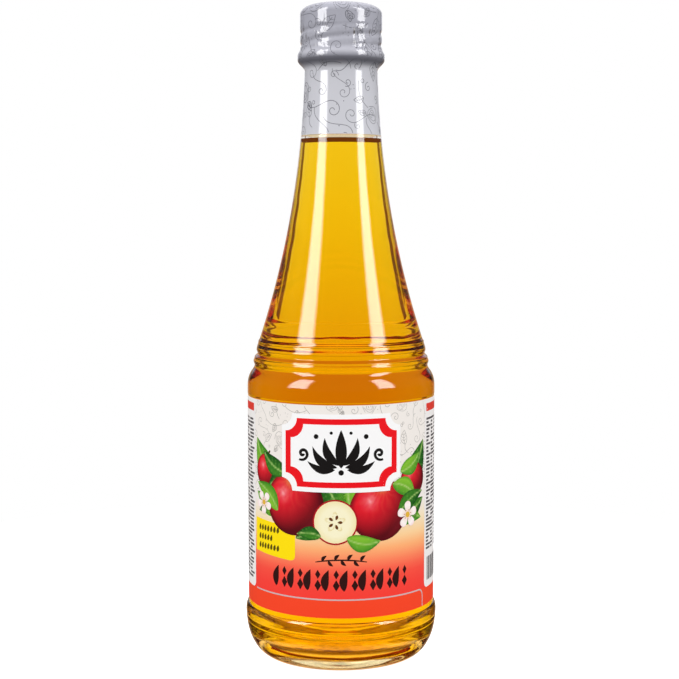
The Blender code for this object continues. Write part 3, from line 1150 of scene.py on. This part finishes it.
def leavesMotif(sheet):
    drawnLeaf(sheet, (-0.8, -1.8), (2.4, 3.6), 3.5)
    drawnLine(sheet, bentLine((-0.8, -1.8), (-1.4, -6.2), -0.2, 16))
    drawnLine(sheet, spiralLine((-3.4, 0.8), 0.3, 1.7, 1.2, 1.2, 40))


def roseMotif(sheet):
    for ring in range(4):
        points = []
        for step in range(41):
            turn = between(ring * 1.9, ring * 1.9 + 5.2, step / 40)
            radius = (0.6 + 0.82 * ring) * (1 + 0.1 * math.cos(3 * turn + ring))
            points.append((radius * math.cos(turn), radius * math.sin(turn) * 1.15))
        drawnLine(sheet, points)
    drawnLeaf(sheet, (2.6, -2.4), (5.2, -5.0), 2.2)


def sprigMotif(sheet):
    drawnLine(sheet, bentLine((-4.2, -3.4), (3.4, 3.2), 0.16, 24))
    drawnLeaf(sheet, (-1.6, -0.4), (-3.6, 3.2), 2.4)
    drawnLine(sheet, spiralLine((2.6, -1.6), 0.35, 1.9, 1.25, 1.9, 46, -1))
    for centre in ((0.2, 4.2), (1.3, 4.9), (-0.4, 5.3)):
        drawnDot(sheet, centre, 0.17)


def motifCollection(name, drawings, material):
    group = bpy.data.collections.new(name)
    for index, drawing in enumerate(drawings):
        motif = makePrint(name + str(index), drawing, material, wrapped=False)
        bpy.context.scene.collection.objects.unlink(motif)
        group.objects.link(motif)
    return group


# scattered prints: motifs are spread on a flat grid, then laid on a wall

castFrom = 50 * mm  # rays towards the axis start this far from it


def makeScatterTree():
    tree, given = startTree(
        "scatterPrint",
        ("Motifs", "Collection"), ("Kinds", "Int"), ("Columns", "Int"), ("Rows", "Int"),
        ("Seed", "Int"), ("Cell Width", "Float"), ("Cell Height", "Float"), ("Left", "Float"),
        ("Bottom", "Float"), ("Jitter", "Float"), ("Turned", "Float"), ("Smallest", "Float"),
        ("Largest", "Float"), ("Stagger", "Float"), ("Wall", "Object"), ("Lift", "Float"),
        ("Unroll", "Float"), ("Lowest", "Float"), ("Highest", "Float"),
    )
    grid = putNode(
        tree, "GeometryNodeMeshGrid",
        {"Size X": 1, "Size Y": 1, "Vertices X": given["Columns"], "Vertices Y": given["Rows"]},
    )
    row, column = gridPlace(tree, given["Rows"])
    odd = times(tree, calc(tree, "FLOORED_MODULO", row, 2), given["Stagger"])

    def randomly(low, high, seedShift, kind="FLOAT"):
        node = tree.nodes.new("FunctionNodeRandomValue")
        node.data_type = kind
        shown = {socket.name: socket for socket in node.inputs if socket.enabled}
        seed = calc(tree, "ADD", given["Seed"], seedShift)
        for label, value in (("Min", low), ("Max", high), ("Seed", seed)):
            if isinstance(value, bpy.types.NodeSocket):
                tree.links.new(value, shown[label])
            else:
                shown[label].default_value = value
        return next(socket for socket in node.outputs if socket.enabled)

    minus = times(tree, given["Jitter"], -1)
    across = calc(tree, "MULTIPLY_ADD", calc(tree, "ADD", column, odd), given["Cell Width"], given["Left"])
    across = calc(tree, "ADD", across, randomly(minus, given["Jitter"], 1))
    height = calc(tree, "MULTIPLY_ADD", row, given["Cell Height"], given["Bottom"])
    height = calc(tree, "ADD", height, randomly(minus, given["Jitter"], 2))
    spread = moveTo(tree, grid.outputs["Mesh"], joined(tree, across, height, 0.0))
    dots = putNode(tree, "GeometryNodeMeshToPoints", {"Mesh": spread})
    motifs = putNode(
        tree, "GeometryNodeCollectionInfo",
        {"Collection": given["Motifs"], "Separate Children": True, "Reset Children": True},
    )
    lastKind = calc(tree, "SUBTRACT", given["Kinds"], 1)
    halfTurned = times(tree, given["Turned"], math.pi)
    spin = joined(tree, 0.0, 0.0, randomly(times(tree, halfTurned, -1), halfTurned, 3))
    placed = putNode(
        tree, "GeometryNodeInstanceOnPoints",
        {
            "Points": dots.outputs[0], "Instance": motifs.outputs[0], "Pick Instance": True,
            "Instance Index": randomly(0, lastKind, 4, "INT"), "Rotation": spin,
            "Scale": randomly(given["Smallest"], given["Largest"], 5),
        },
    )
    real = putNode(tree, "GeometryNodeRealizeInstances", {"Geometry": placed.outputs[0]})
    # each flat point is laid on the wall by a ray towards the axis
    at = splitUp(tree, placeNow(tree))
    turn = calc(tree, "DIVIDE", at["X"], given["Unroll"])
    sine = calc(tree, "SINE", turn)
    cosine = calc(tree, "COSINE", turn)
    source = joined(tree, times(tree, sine, castFrom), times(tree, cosine, -castFrom), at["Y"])
    wall = putNode(tree, "GeometryNodeObjectInfo", {"Object": given["Wall"]}, transform_space="ORIGINAL")
    cast = putNode(
        tree, "GeometryNodeRaycast",
        {
            "Target Geometry": wall.outputs["Geometry"], "Source Position": source,
            "Ray Direction": joined(tree, times(tree, sine, -1), cosine, 0.0), "Ray Length": castFrom,
        },
    ).outputs
    raised = scaled(tree, cast["Hit Normal"], given["Lift"])
    onWall = vectorMath(tree, "ADD", {0: cast["Hit Position"], 1: raised})
    tooLow = calc(tree, "LESS_THAN", at["Y"], given["Lowest"])
    tooHigh = calc(tree, "GREATER_THAN", at["Y"], given["Highest"])
    missed = restOf(tree, cast["Is Hit"])
    outside = calc(tree, "MAXIMUM", calc(tree, "MAXIMUM", tooLow, tooHigh), missed)
    trimmed = putNode(
        tree, "GeometryNodeDeleteGeometry", {"Geometry": real.outputs[0], "Selection": outside},
        domain="POINT",
    )
    return endTree(tree, moveTo(tree, trimmed.outputs[0], onWall), given["Finish"])


scatterTree = makeScatterTree()


def scatterPiece(name, motifs, wall, material, layout):
    piece = newObject(name, bpy.data.meshes.new(name))
    settings = {
        "Motifs": motifs, "Kinds": len(motifs.objects), "Wall": wall, "Finish": material,
        "Jitter": 0.0, "Turned": 0.0, "Smallest": 1.0, "Largest": 1.0, "Stagger": 0.5,
    }
    settings.update(layout)
    runTree(piece, scatterTree, settings)
    useMaterial(piece, material)
    piece.data.shade_smooth()
    return piece


# the turned pieces

pieces = {}
glassMaterial = makeGlassMaterial()
pieces["glass"] = turnPiece("bottle_glass", glassOutline(), glassMaterial)
runTree(pieces["glass"], makeWaveTree(), {
    "Height": 2 * waveSet["height"], "Under Height": 2 * waveSet["underHeight"], "Finish": glassMaterial,
})
useMaterial(pieces["glass"], glassMaterial)
markDryFaces(pieces["glass"])
pieces["vinegar"] = turnPiece("vinegar_fill", vinegarOutline(), makeVinegarMaterial())
filmMaterial = makeFilmMaterial("silverFilm")
pieces["sleeve"] = turnPiece("sleeve_film", sleeveOutline(), filmMaterial, closed=True, around=sides * 3 // 2)
pressPiece(pieces["sleeve"], filmMaterial, creaseSet["depth"])
capMaterial = makeCapMaterial()
pieces["cap"] = turnPiece("screw_cap_shell", capOutline(), capMaterial)
pressPiece(pieces["cap"], capMaterial, 0.0)
pieces["label"] = turnPiece("label_paper", labelOutline(), makeLabelMaterial(), closed=True)

labelMiddle = (labelSet["inner"] + labelSet["outer"]) / 2
wettedEdge = flareRadius(vinegarSet["level"]) - glassSet["flareWall"]
rimInside = wettedEdge - vinegarSet["rimWidth"] * vinegarSet["rimShown"]


def isLabelBack(place, normal):
    return math.hypot(place.x, place.y) < labelMiddle


def isFilmFold(place, normal):
    inFold = glassSet["flareTop"][1] < place.z < glassSet["collarTop"]
    return inFold and normal.z < filmSet["foldFacesDown"]


def isFilmBack(place, normal):
    return place.z < glassSet["flareTop"][1] and normal.x * place.x + normal.y * place.y < 0


def isDrinkRim(place, normal):
    onTop = place.z > vinegarSet["flatLevel"] and normal.z > vinegarSet["rimFacesUp"]
    return onTop and math.hypot(place.x, place.y) > rimInside


# daylight through the label and the film; film in the fold under the collar, matt; the drink's rim, painted
# light: a dim brown glow in place of the light on its meniscus
addMaterialWhere(pieces["label"], makeLabelBackMaterial(), isLabelBack)
addMaterialWhere(pieces["sleeve"], makeFilmMaterial("filmFold", coat=filmSet["foldCoat"]), isFilmFold)
addMaterialWhere(pieces["sleeve"], makeGlowMaterial("filmBack", filmSet["backGlow"]), isFilmBack)
addMaterialWhere(pieces["vinegar"], makeGlowMaterial("drinkRim", vinegarSet["rimGlow"]), isDrinkRim)
print("turned pieces made")


# printed picture: red fruit, leaves, blossoms and a cut slice, shaded by plain formulas

lightFrom = (-0.42, 0.52, 0.74)
fruitTones = {
    "shade": (92, 0, 14), "red": (226, 22, 40), "streak": (240, 120, 70), "pole": (226, 176, 84),
    "shine": (255, 186, 190), "glow": (214, 60, 70), "edge": (84, 0, 14), "stem": (92, 56, 24),
}
leafTones = {"vein": (150, 196, 92), "midrib": (178, 208, 120)}
deepLeaf = {"light": (62, 132, 34), "dark": (6, 62, 18)}
freshLeaf = {"light": (132, 192, 50), "dark": (38, 118, 26)}
blossomTones = {
    "throat": (238, 206, 190), "petal": (255, 250, 246), "tip": (250, 206, 208), "eye": (226, 178, 60),
    "dot": (196, 122, 40),
}
sliceTones = {
    "rind": (206, 30, 40), "rindEdge": (150, 10, 24), "flesh": (250, 243, 206), "fleshEdge": (240, 224, 164),
    "star": (222, 200, 128), "seed": (104, 58, 22),
}


def mixTone(first, second, share):
    share = min(max(share, 0), 1)
    return tuple(between(a, b, share) for a, b in zip(first, second))


def ripple(x, y):
    return math.sin(2.1 * x + 1.3 * math.sin(1.7 * y)) * math.sin(1.9 * y + 1.1 * math.sin(2.3 * x + 1))


def fruitTone(centre, radius, lean=0.0):
    tones = fruitTones

    def tone(point):
        x, y = (point[0] - centre[0]) / radius, (point[1] - centre[1]) / radius
        away = x * x + y * y
        out = math.sqrt(max(0.0, 1 - min(away, 1)))
        lit = max(0.0, x * lightFrom[0] + y * lightFrom[1] + out * lightFrom[2])
        colour = mixTone(tones["shade"], tones["red"], lit * 1.15)
        poleX, poleY = x - 0.25 * math.sin(lean), y - 0.72
        fromPole = math.hypot(poleX, poleY)
        streak = 0.5 + 0.5 * math.sin(17 * math.atan2(poleX, -poleY) + 2.5 * ripple(3 * x, 3 * y))
        colour = mixTone(colour, tones["streak"], 0.42 * streak * max(0.0, 1 - fromPole / 1.3) * lit)
        colour = mixTone(colour, tones["pole"], 0.75 * math.exp(-(fromPole / 0.2) ** 2))
        shine = max(0.0, 1 - math.hypot(x + 0.36, y - 0.3) / 0.42) ** 1.6
        colour = mixTone(colour, tones["shine"], 0.9 * shine * (0.75 + 0.25 * ripple(9 * x, 9 * y)))
        glow = max(0.0, x * 0.75 - y * 0.5 - 0.52) * 1.4
        colour = mixTone(colour, tones["glow"], glow * out)
        return mixTone(colour, tones["edge"], max(0.0, away - 0.72) * 2.2)
    return tone


def leafTone(start, end, width, bend, light, dark):
    runX, runY = end[0] - start[0], end[1] - start[1]
    length = math.hypot(runX, runY)

    def tone(point):
        x, y = point[0] - start[0], point[1] - start[1]
        share = min(max((x * runX + y * runY) / length ** 2, 0.0), 1.0)
        aside = (y * runX - x * runY) / length - 4 * bend * length * share * (1 - share)
        half = width / 2 * leafWidth(share) + 0.01
        across = aside / half
        colour = mixTone(dark, light, 0.55 + 0.35 * across + 0.25 * math.sin(3 * share + 0.6))
        veins = abs(math.sin(math.pi * (share * 7.5 - abs(across) * 0.9)))
        colour = mixTone(colour, leafTones["vein"], 0.45 * max(0.0, 1 - veins / 0.28))
        colour = mixTone(leafTones["midrib"], colour, abs(aside) / (0.05 * width + 0.12))
        return mixTone(colour, dark, max(0.0, abs(across) - 0.7) * 1.8)
    return tone


def addLeaf(sheet, start, end, width, bend, lift, light, dark):
    tone = leafTone(start, end, width, bend, light, dark)
    addPatch(sheet, leafEdge(start, end, width, bend, 20), tone, lift, 0.6)


def addFruit(sheet, centre, radius, lift, lean=0.0):
    edge = []
    for step in range(72):
        turn = fullTurn * step / 72
        size = radius * (1 + 0.02 * math.cos(2 * turn) - 0.05 * math.exp(-((turn - 1.5) / 0.3) ** 2))
        edge.append((centre[0] + size * math.cos(turn), centre[1] + size * math.sin(turn)))
    addPatch(sheet, edge, fruitTone(centre, radius, lean), lift, 0.62)
    foot = (centre[0] + 0.24 * radius * math.sin(lean), centre[1] + 0.74 * radius)
    tip = (foot[0] + 1.6 * math.sin(lean) + 0.4, foot[1] + 0.42 * radius)
    addRibbon(sheet, bentLine(foot, tip, 0.12, 8), 0.75, fruitTones["stem"], lift + 0.012 * mm, 0.2)


def petalTone(centre, size):
    tones = blossomTones

    def tone(point):
        x, y = point[0] - centre[0], point[1] - centre[1]
        share = math.hypot(x, y) / size
        rays = 0.5 + 0.5 * math.sin(22 * math.atan2(y, x))
        colour = mixTone(tones["throat"], tones["petal"], share * 1.3)
        return mixTone(colour, tones["tip"], max(0.0, share - 0.72) * 1.6 + 0.12 * rays)
    return tone


def addBlossom(sheet, centre, size, lift, start=0.3):
    for petal in range(5):
        turn = start + fullTurn * petal / 5
        out = (math.cos(turn), math.sin(turn))
        foot = (centre[0] + 0.12 * size * out[0], centre[1] + 0.12 * size * out[1])
        tip = (centre[0] + size * out[0], centre[1] + size * out[1])
        middle = ((foot[0] + tip[0]) / 2, (foot[1] + tip[1]) / 2)
        edge = []
        for step in range(28):
            around = fullTurn * step / 28
            along, across = 0.5 * size * math.cos(around), 0.43 * size * math.sin(around)
            across *= 0.72 + 0.34 * math.cos(around)
            x = middle[0] + along * out[0] - across * out[1]
            edge.append((x, middle[1] + along * out[1] + across * out[0]))
        addPatch(sheet, edge, petalTone(centre, size), lift + 0.003 * mm * petal, 0.5)
    addDot(sheet, centre, 0.24 * size, blossomTones["eye"], lift + 0.022 * mm, 14, 0.5)
    for dot in range(7):
        turn = start + fullTurn * dot / 7
        spot = (centre[0] + 0.36 * size * math.cos(turn), centre[1] + 0.36 * size * math.sin(turn))
        addDot(sheet, spot, 0.05 * size, blossomTones["dot"], lift + 0.028 * mm, 8, 0.5)


def addSlice(sheet, centre, radius, lift):
    tones = sliceTones

    def rind(point):
        share = math.hypot(point[0] - centre[0], point[1] - centre[1]) / radius
        return mixTone(tones["rind"], tones["rindEdge"], (share - 0.9) * 8)

    def flesh(point):
        x, y = (point[0] - centre[0]) / radius, (point[1] - centre[1]) / radius
        share = math.hypot(x, y)
        colour = mixTone(tones["flesh"], tones["fleshEdge"], max(0.0, share - 0.62) * 2.2)
        star = 0.3 + 0.13 * math.cos(5 * math.atan2(y, x) - 1.57)
        return mixTone(colour, tones["star"], max(0.0, 1 - abs(share - star) / 0.05) * 0.8)

    addDot(sheet, centre, radius, rind, lift, 56, 0.7)
    addDot(sheet, centre, 0.93 * radius, flesh, lift + 0.008 * mm, 56, 0.45)
    for seed in range(5):
        turn = 1.57 / 5 + fullTurn * (seed + 0.5) / 5 + 0.31
        foot = (centre[0] + 0.1 * radius * math.cos(turn), centre[1] + 0.1 * radius * math.sin(turn))
        tip = (centre[0] + 0.33 * radius * math.cos(turn), centre[1] + 0.33 * radius * math.sin(turn))
        addPatch(sheet, leafEdge(tip, foot, 0.13 * radius, 0, 10), tones["seed"], lift + 0.016 * mm, 0.4)


def drawPicture(sheet):
    deep, fresh = deepLeaf, freshLeaf
    # leaves at the back, from the left-hand edge down to the middle and up to the right-hand edge
    for start, end, width, bend, tones in (
        ((-24, 70), (-38.6, 86.5), 11.0, 0.10, fresh), ((-26, 66), (-38.8, 75.0), 9.0, -0.12, deep),
        ((-22, 62), (-38.4, 66.0), 8.5, 0.12, fresh), ((-20, 60), (-37.0, 58.8), 6.4, -0.10, deep),
        ((24, 68), (36.9, 86.0), 10.5, -0.08, deep), ((26, 66), (36.8, 74.0), 8.5, 0.10, fresh),
        ((22, 60), (36.8, 64.0), 8.0, -0.12, deep), ((20, 57), (35.4, 56.4), 7.0, 0.10, fresh),
        ((-8, 60), (-17.6, 50.8), 8.0, 0.12, deep), ((-6, 72), (-2, 58), 9.0, 0.1, deep),
        ((3, 74), (5, 60), 8.5, -0.1, fresh), ((8, 56), (13.5, 48.6), 7.5, 0.10, deep),
    ):
        addLeaf(sheet, start, end, width, bend, 0.010 * mm, **tones)
    addFruit(sheet, (-31.6, 74.4), 6.8, 0.024 * mm, 0.5)
    addFruit(sheet, (30.4, 71.6), 6.6, 0.024 * mm, -0.3)
    addLeaf(sheet, (-17, 73), (-31, 68.0), 7.5, -0.14, 0.038 * mm, **deep)
    addFruit(sheet, (15.0, 61.6), 11.8, 0.050 * mm, 0.2)
    addLeaf(sheet, (20, 71), (31.5, 64.6), 7.0, 0.12, 0.064 * mm, **fresh)
    addFruit(sheet, (-18.6, 63.6), 12.0, 0.066 * mm, -0.25)
    addLeaf(sheet, (-15, 73.5), (-3.5, 70.6), 6.6, 0.14, 0.082 * mm, **fresh)
    addLeaf(sheet, (-25.5, 60.4), (-38.0, 69.6), 7.0, -0.12, 0.084 * mm, **fresh)
    addLeaf(sheet, (-21, 74.6), (-33.5, 82.0), 7.0, 0.1, 0.084 * mm, **deep)
    addLeaf(sheet, (22.5, 58.6), (36.2, 66.6), 6.6, 0.12, 0.084 * mm, **deep)
    addLeaf(sheet, (23.6, 75.0), (34.0, 81.4), 6.6, -0.1, 0.084 * mm, **fresh)
    addSlice(sheet, (-2.2, 57.6), 8.4, 0.090 * mm)
    addLeaf(sheet, (2.0, 51.6), (15.0, 50.2), 6.4, -0.12, 0.110 * mm, **fresh)
    addLeaf(sheet, (-7.4, 52.2), (-17.0, 52.6), 5.0, -0.1, 0.110 * mm, **deep)
    addBlossom(sheet, (27.2, 58.6), 4.8, 0.120 * mm)
    addBlossom(sheet, (-33.4, 62.4), 4.2, 0.120 * mm, 0.9)


# plaque: a plain cartouche with hollow corners, and one leafy ornament in it

plaqueSet = {
    "centre": (0, 83.0), "white": (250, 249, 249), "red": (238, 12, 26), "black": (26, 22, 22),
    "layers": [
        (23.4, 14.4, 4.6, "white", 0.135 * mm), (21.7, 12.7, 4.9, "red", 0.145 * mm),
        (19.4, 10.6, 5.2, "white", 0.155 * mm),
    ],
    "fan": [((0.6, -4.4), (6.0, 5.8), 3.3, -0.16), ((1.4, -5.2), (10.6, 2.6), 3.2, -0.18),
            ((2.2, -6.0), (12.6, -3.0), 2.8, -0.14)],
    "fanLift": 0.167 * mm,
}


def plaqueEdge(halfWidth, halfHeight, hollow):
    centre = plaqueSet["centre"]
    points = []
    for cornerX, cornerY, start in ((1, 1, -90), (-1, 1, 0), (-1, -1, 90), (1, -1, 180)):
        middle = (centre[0] + cornerX * halfWidth, centre[1] + cornerY * halfHeight)
        for step in range(13):
            turn = math.radians(start - 90 * step / 12)
            points.append((middle[0] + hollow * math.cos(turn), middle[1] + hollow * math.sin(turn)))
    return points


def drawPlaque(sheet):
    p = plaqueSet
    for halfWidth, halfHeight, hollow, tone, lift in p["layers"]:
        addPatch(sheet, plaqueEdge(halfWidth, halfHeight, hollow), p[tone], lift, 1.3)
    middle, ink, lift = p["centre"], p["black"], p["fanLift"]
    addPatch(sheet, leafEdge((0, 77.6), (0, 91.8), 4.2, 0, 16), ink, lift, 0.9)
    for start, end, width, bend in p["fan"]:
        for side in (-1, 1):
            ends = [(middle[0] + side * x, middle[1] + y) for x, y in (start, end)]
            addPatch(sheet, leafEdge(ends[0], ends[1], width, side * bend, 14), ink, lift, 0.9)
    curl = spiralLine((14.4, -0.2), 0.5, 2.7, 1.3, 3.4, 40)
    for side in (-1, 1):
        mirrored = [(middle[0] + side * x, middle[1] + y) for x, y in curl]
        addRibbon(sheet, mirrored, 1.15, ink, lift, 0.3)
        addDot(sheet, (side * 9.2, 89.2), 0.9, ink, lift, 16, 0.6)
        addDot(sheet, (side * 3.6, 90.6), 0.6, ink, lift, 14, 0.6)
    addDot(sheet, (0, 76.0), 1.0, ink, lift, 16, 0.6)


# small prints: yellow tag with seeds, dark sprig and thin silver line

smallSet = {
    "lift": 0.03 * mm, "seedLift": 0.045 * mm, "yellow": (255, 224, 0), "seed": (92, 78, 10),
    "sprig": (48, 24, 20), "silver": (206, 178, 178), "line": 0.55,
    "seedRows": [(51.0, 7), (47.6, 5), (44.2, 7)], "seedLeft": -36.4, "seedStep": 1.75,
    "bendCentre": (34.2, 25.8), "bendWidth": 2.6, "bendHeight": 2.8, "silverStep": 1.05, "silverSteps": 70,
}
tagEdge = [
    (-39.2, 43.4), (-19.8, 42.25), (-18.6, 42.5), (-17.9, 43.3), (-17.7, 44.6),
    (-17.7, 52.4), (-17.9, 53.9), (-18.6, 54.8), (-19.8, 55.0), (-39.2, 56.0),
]


def drawSmallPrints(sheet):
    s = smallSet
    addPatch(sheet, tagEdge, s["yellow"], s["lift"], 1.3)
    for height, seeds in s["seedRows"]:
        for seed in range(seeds):
            foot = (s["seedLeft"] + s["seedStep"] * seed, height + 0.5)
            tip = (foot[0] + 0.5, foot[1] + 2.5)
            addPatch(sheet, leafEdge(foot, tip, 1.3, 0, 8), s["seed"], s["seedLift"], 0.6)
    stem = bentLine((-9.6, 42.6), (9.6, 42.6), 0.05, 40)
    addRibbon(sheet, stem, s["line"], s["sprig"], s["lift"], 0.4)
    for step in range(5, 38, 5):
        side = 1 if step % 2 else -1
        spot = stem[step]
        tip = (spot[0] + 1.9, spot[1] + side * 2.1)
        addPatch(sheet, leafEdge(spot, tip, 1.25, 0.12 * side, 10), s["sprig"], s["lift"], 0.6)
    # the silver line rises beside the right-hand panel, bends, and runs to the left
    left, foot = s["bendCentre"]
    rise = [(left + s["bendWidth"], 21.9 + step) for step in range(4)]
    bend = ringOf((left, foot), s["bendWidth"], s["bendHeight"], 12, 0, math.pi / 2)
    top = foot + s["bendHeight"]
    run = [(left - s["silverStep"] * step, top) for step in range(1, s["silverSteps"] + 1)]
    addRibbon(sheet, rise + bend + run, s["line"], s["silver"], s["lift"])


# side panels: off-white, each with a red head and rows of short grey bars

panelSet = {
    "bottom": 28.4, "top": 100.5, "rounding": 2.4, "lift": 0.02 * mm, "tone": (240, 236, 234),
    "headBottom": 96.0, "headTop": 99.0, "headRounding": 0.4, "headLift": 0.032 * mm,
    "headTone": (226, 58, 44), "step": 1.8,
    "panels": [
        {"left": -78.0, "right": -40.2, "headLeft": -77.0, "headRight": -41.4},
        {"left": 38.3, "right": 76.0, "headLeft": 39.6, "headRight": 75.0},
    ],
}
uprightBars = {
    "count": 24, "left": 40.6, "step": 0.9, "thin": 0.32, "thicker": 0.22,
    "bottom": 31.0, "top": 40.0, "tone": (70, 68, 70),
}


def panelEdge(left, right, bottom, top, rounding):
    low = ringOf((left + rounding, bottom + rounding), rounding, rounding, 10, math.pi, 1.5 * math.pi)
    low += ringOf((right - rounding, bottom + rounding), rounding, rounding, 10, 1.5 * math.pi, fullTurn)
    return low + [(right, top), (left, top)]


def drawSidePanels(sheet):
    p, u = panelSet, uprightBars
    for panel in p["panels"]:
        edge = panelEdge(panel["left"], panel["right"], p["bottom"], p["top"], p["rounding"])
        addPatch(sheet, edge, p["tone"], p["lift"], p["step"])
        head = panelEdge(
            panel["headLeft"], panel["headRight"], p["headBottom"], p["headTop"], p["headRounding"]
        )
        addPatch(sheet, head, p["headTone"], p["headLift"], p["step"])
    for bar in range(u["count"]):
        left = u["left"] + u["step"] * bar
        right = left + (u["thin"] + u["thicker"] * ((bar * 7) % 3))
        edge = [(left, u["bottom"]), (right, u["bottom"]), (right, u["top"]), (left, u["top"])]
        addPatch(sheet, edge, u["tone"], p["headLift"], 2.0)


def barMotif(length):
    def drawing(sheet):
        addRibbon(sheet, [(length * step / 6, 0.4) for step in range(7)], 0.8)
    return drawing


def friezeMotif(sheet):
    # one tall leaf and two lozenges, one above the other
    ink = scrollSet["ink"]
    addPatch(sheet, leafEdge((-2.3, 0), (-1.1, 8.0), 3.0, 0.1, 16), ink, 0, 0.9)
    for foot, halfWidth, halfHeight in ((0.0, 1.25, 2.15), (4.5, 1.0, 1.75)):
        middle, top = foot + halfHeight, foot + 2 * halfHeight
        edge = [(1.7, foot), (1.7 + halfWidth, middle), (1.7, top), (1.7 - halfWidth, middle)]
        addPatch(sheet, edge, ink, 0, 0.9)


scrollDrawings = [curlMotif, twinCurlMotif, leavesMotif, curlMotif, roseMotif, sprigMotif]
filmLine = makeFilmMaterial("filmLine", filmSet["line"])
paleLine = makePlainInk("paleLine", paint(168, 163, 158))
blackInk = makePlainInk("blackInk", paint(52, 20, 18))
greyInk = makePlainInk("greyInk", paint(92, 88, 90))
scrolls = motifCollection("scroll", scrollDrawings, filmLine)
bars = motifCollection("bar", [barMotif(length) for length in (2.2, 3.2, 4.0, 4.6, 5.2)], greyInk)
friezeLeaves = motifCollection("friezeLeaf", [friezeMotif], blackInk)
sleeveRound = 94.2 * mm
pieces["filmScrolls"] = scatterPiece("sleeve_scrolls", scrolls, pieces["sleeve"], filmLine, {
    "Columns": 10, "Rows": 7, "Seed": 8, "Cell Width": sleeveRound / 10, "Cell Height": 8.2 * mm,
    "Left": -sleeveRound / 2, "Bottom": 199.5 * mm, "Jitter": 0.8 * mm, "Turned": 1.0,
    "Smallest": 0.95, "Largest": 1.25, "Unroll": 15.0 * mm, "Lift": 0.012 * mm,
    "Lowest": 200.1 * mm, "Highest": 248.6 * mm,
})
labelRound = fullTurn * labelSet["outer"]
pieces["labelScrolls"] = scatterPiece("label_scrolls", scrolls, pieces["label"], paleLine, {
    "Columns": 32, "Rows": 6, "Seed": 11, "Cell Width": labelRound / 32, "Cell Height": 6.4 * mm,
    "Left": -labelRound / 2, "Bottom": 68.0 * mm, "Jitter": 0.8 * mm, "Turned": 1.0,
    "Smallest": 0.66, "Largest": 0.9, "Unroll": labelSet["outer"], "Lift": 0.008 * mm,
    "Lowest": 66.0 * mm, "Highest": 100.5 * mm,
})
pieces["frieze"] = scatterPiece("label_frieze", friezeLeaves, pieces["label"], blackInk, {
    "Columns": 8, "Rows": 1, "Seed": 1, "Cell Width": 6.9 * mm, "Cell Height": 8.0 * mm,
    "Left": -24.2 * mm, "Bottom": 31.8 * mm, "Unroll": labelSet["outer"], "Lift": 0.02 * mm,
    "Lowest": 25 * mm, "Highest": 45 * mm,
})
for key, left, bottom in (("leftBars", -76.3, 31.6), ("rightBars", 39.8, 43.0)):
    pieces[key] = scatterPiece("label_" + key, bars, pieces["label"], greyInk, {
        "Columns": 7, "Rows": 45, "Seed": 10, "Cell Width": 5.0 * mm, "Cell Height": 1.38 * mm,
        "Left": left * mm, "Bottom": bottom * mm, "Stagger": 0.0,
        "Unroll": labelSet["outer"], "Lift": 0.035 * mm, "Lowest": 30 * mm, "Highest": 94.5 * mm,
    })
inkMaterial = makeInkMaterial()
for key, name, drawing in (
    ("picture", "label_picture", drawPicture), ("plaque", "label_plaque", drawPlaque),
    ("smallPrints", "label_small_prints", drawSmallPrints),
    ("sidePanels", "label_side_panels", drawSidePanels),
):
    pieces[key] = makePrint(name, drawing, inkMaterial)
print("prints made")

onNodes = {"glass": "glass_bottle", "vinegar": "vinegar", "sleeve": "shrink_sleeve", "cap": "screw_cap"}
for key, piece in pieces.items():
    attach(piece, "root")
    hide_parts("shrink_sleeve" if key == "filmScrolls" else onNodes.get(key, "label"))
    print(piece.name, len(piece.data.polygons), "faces")

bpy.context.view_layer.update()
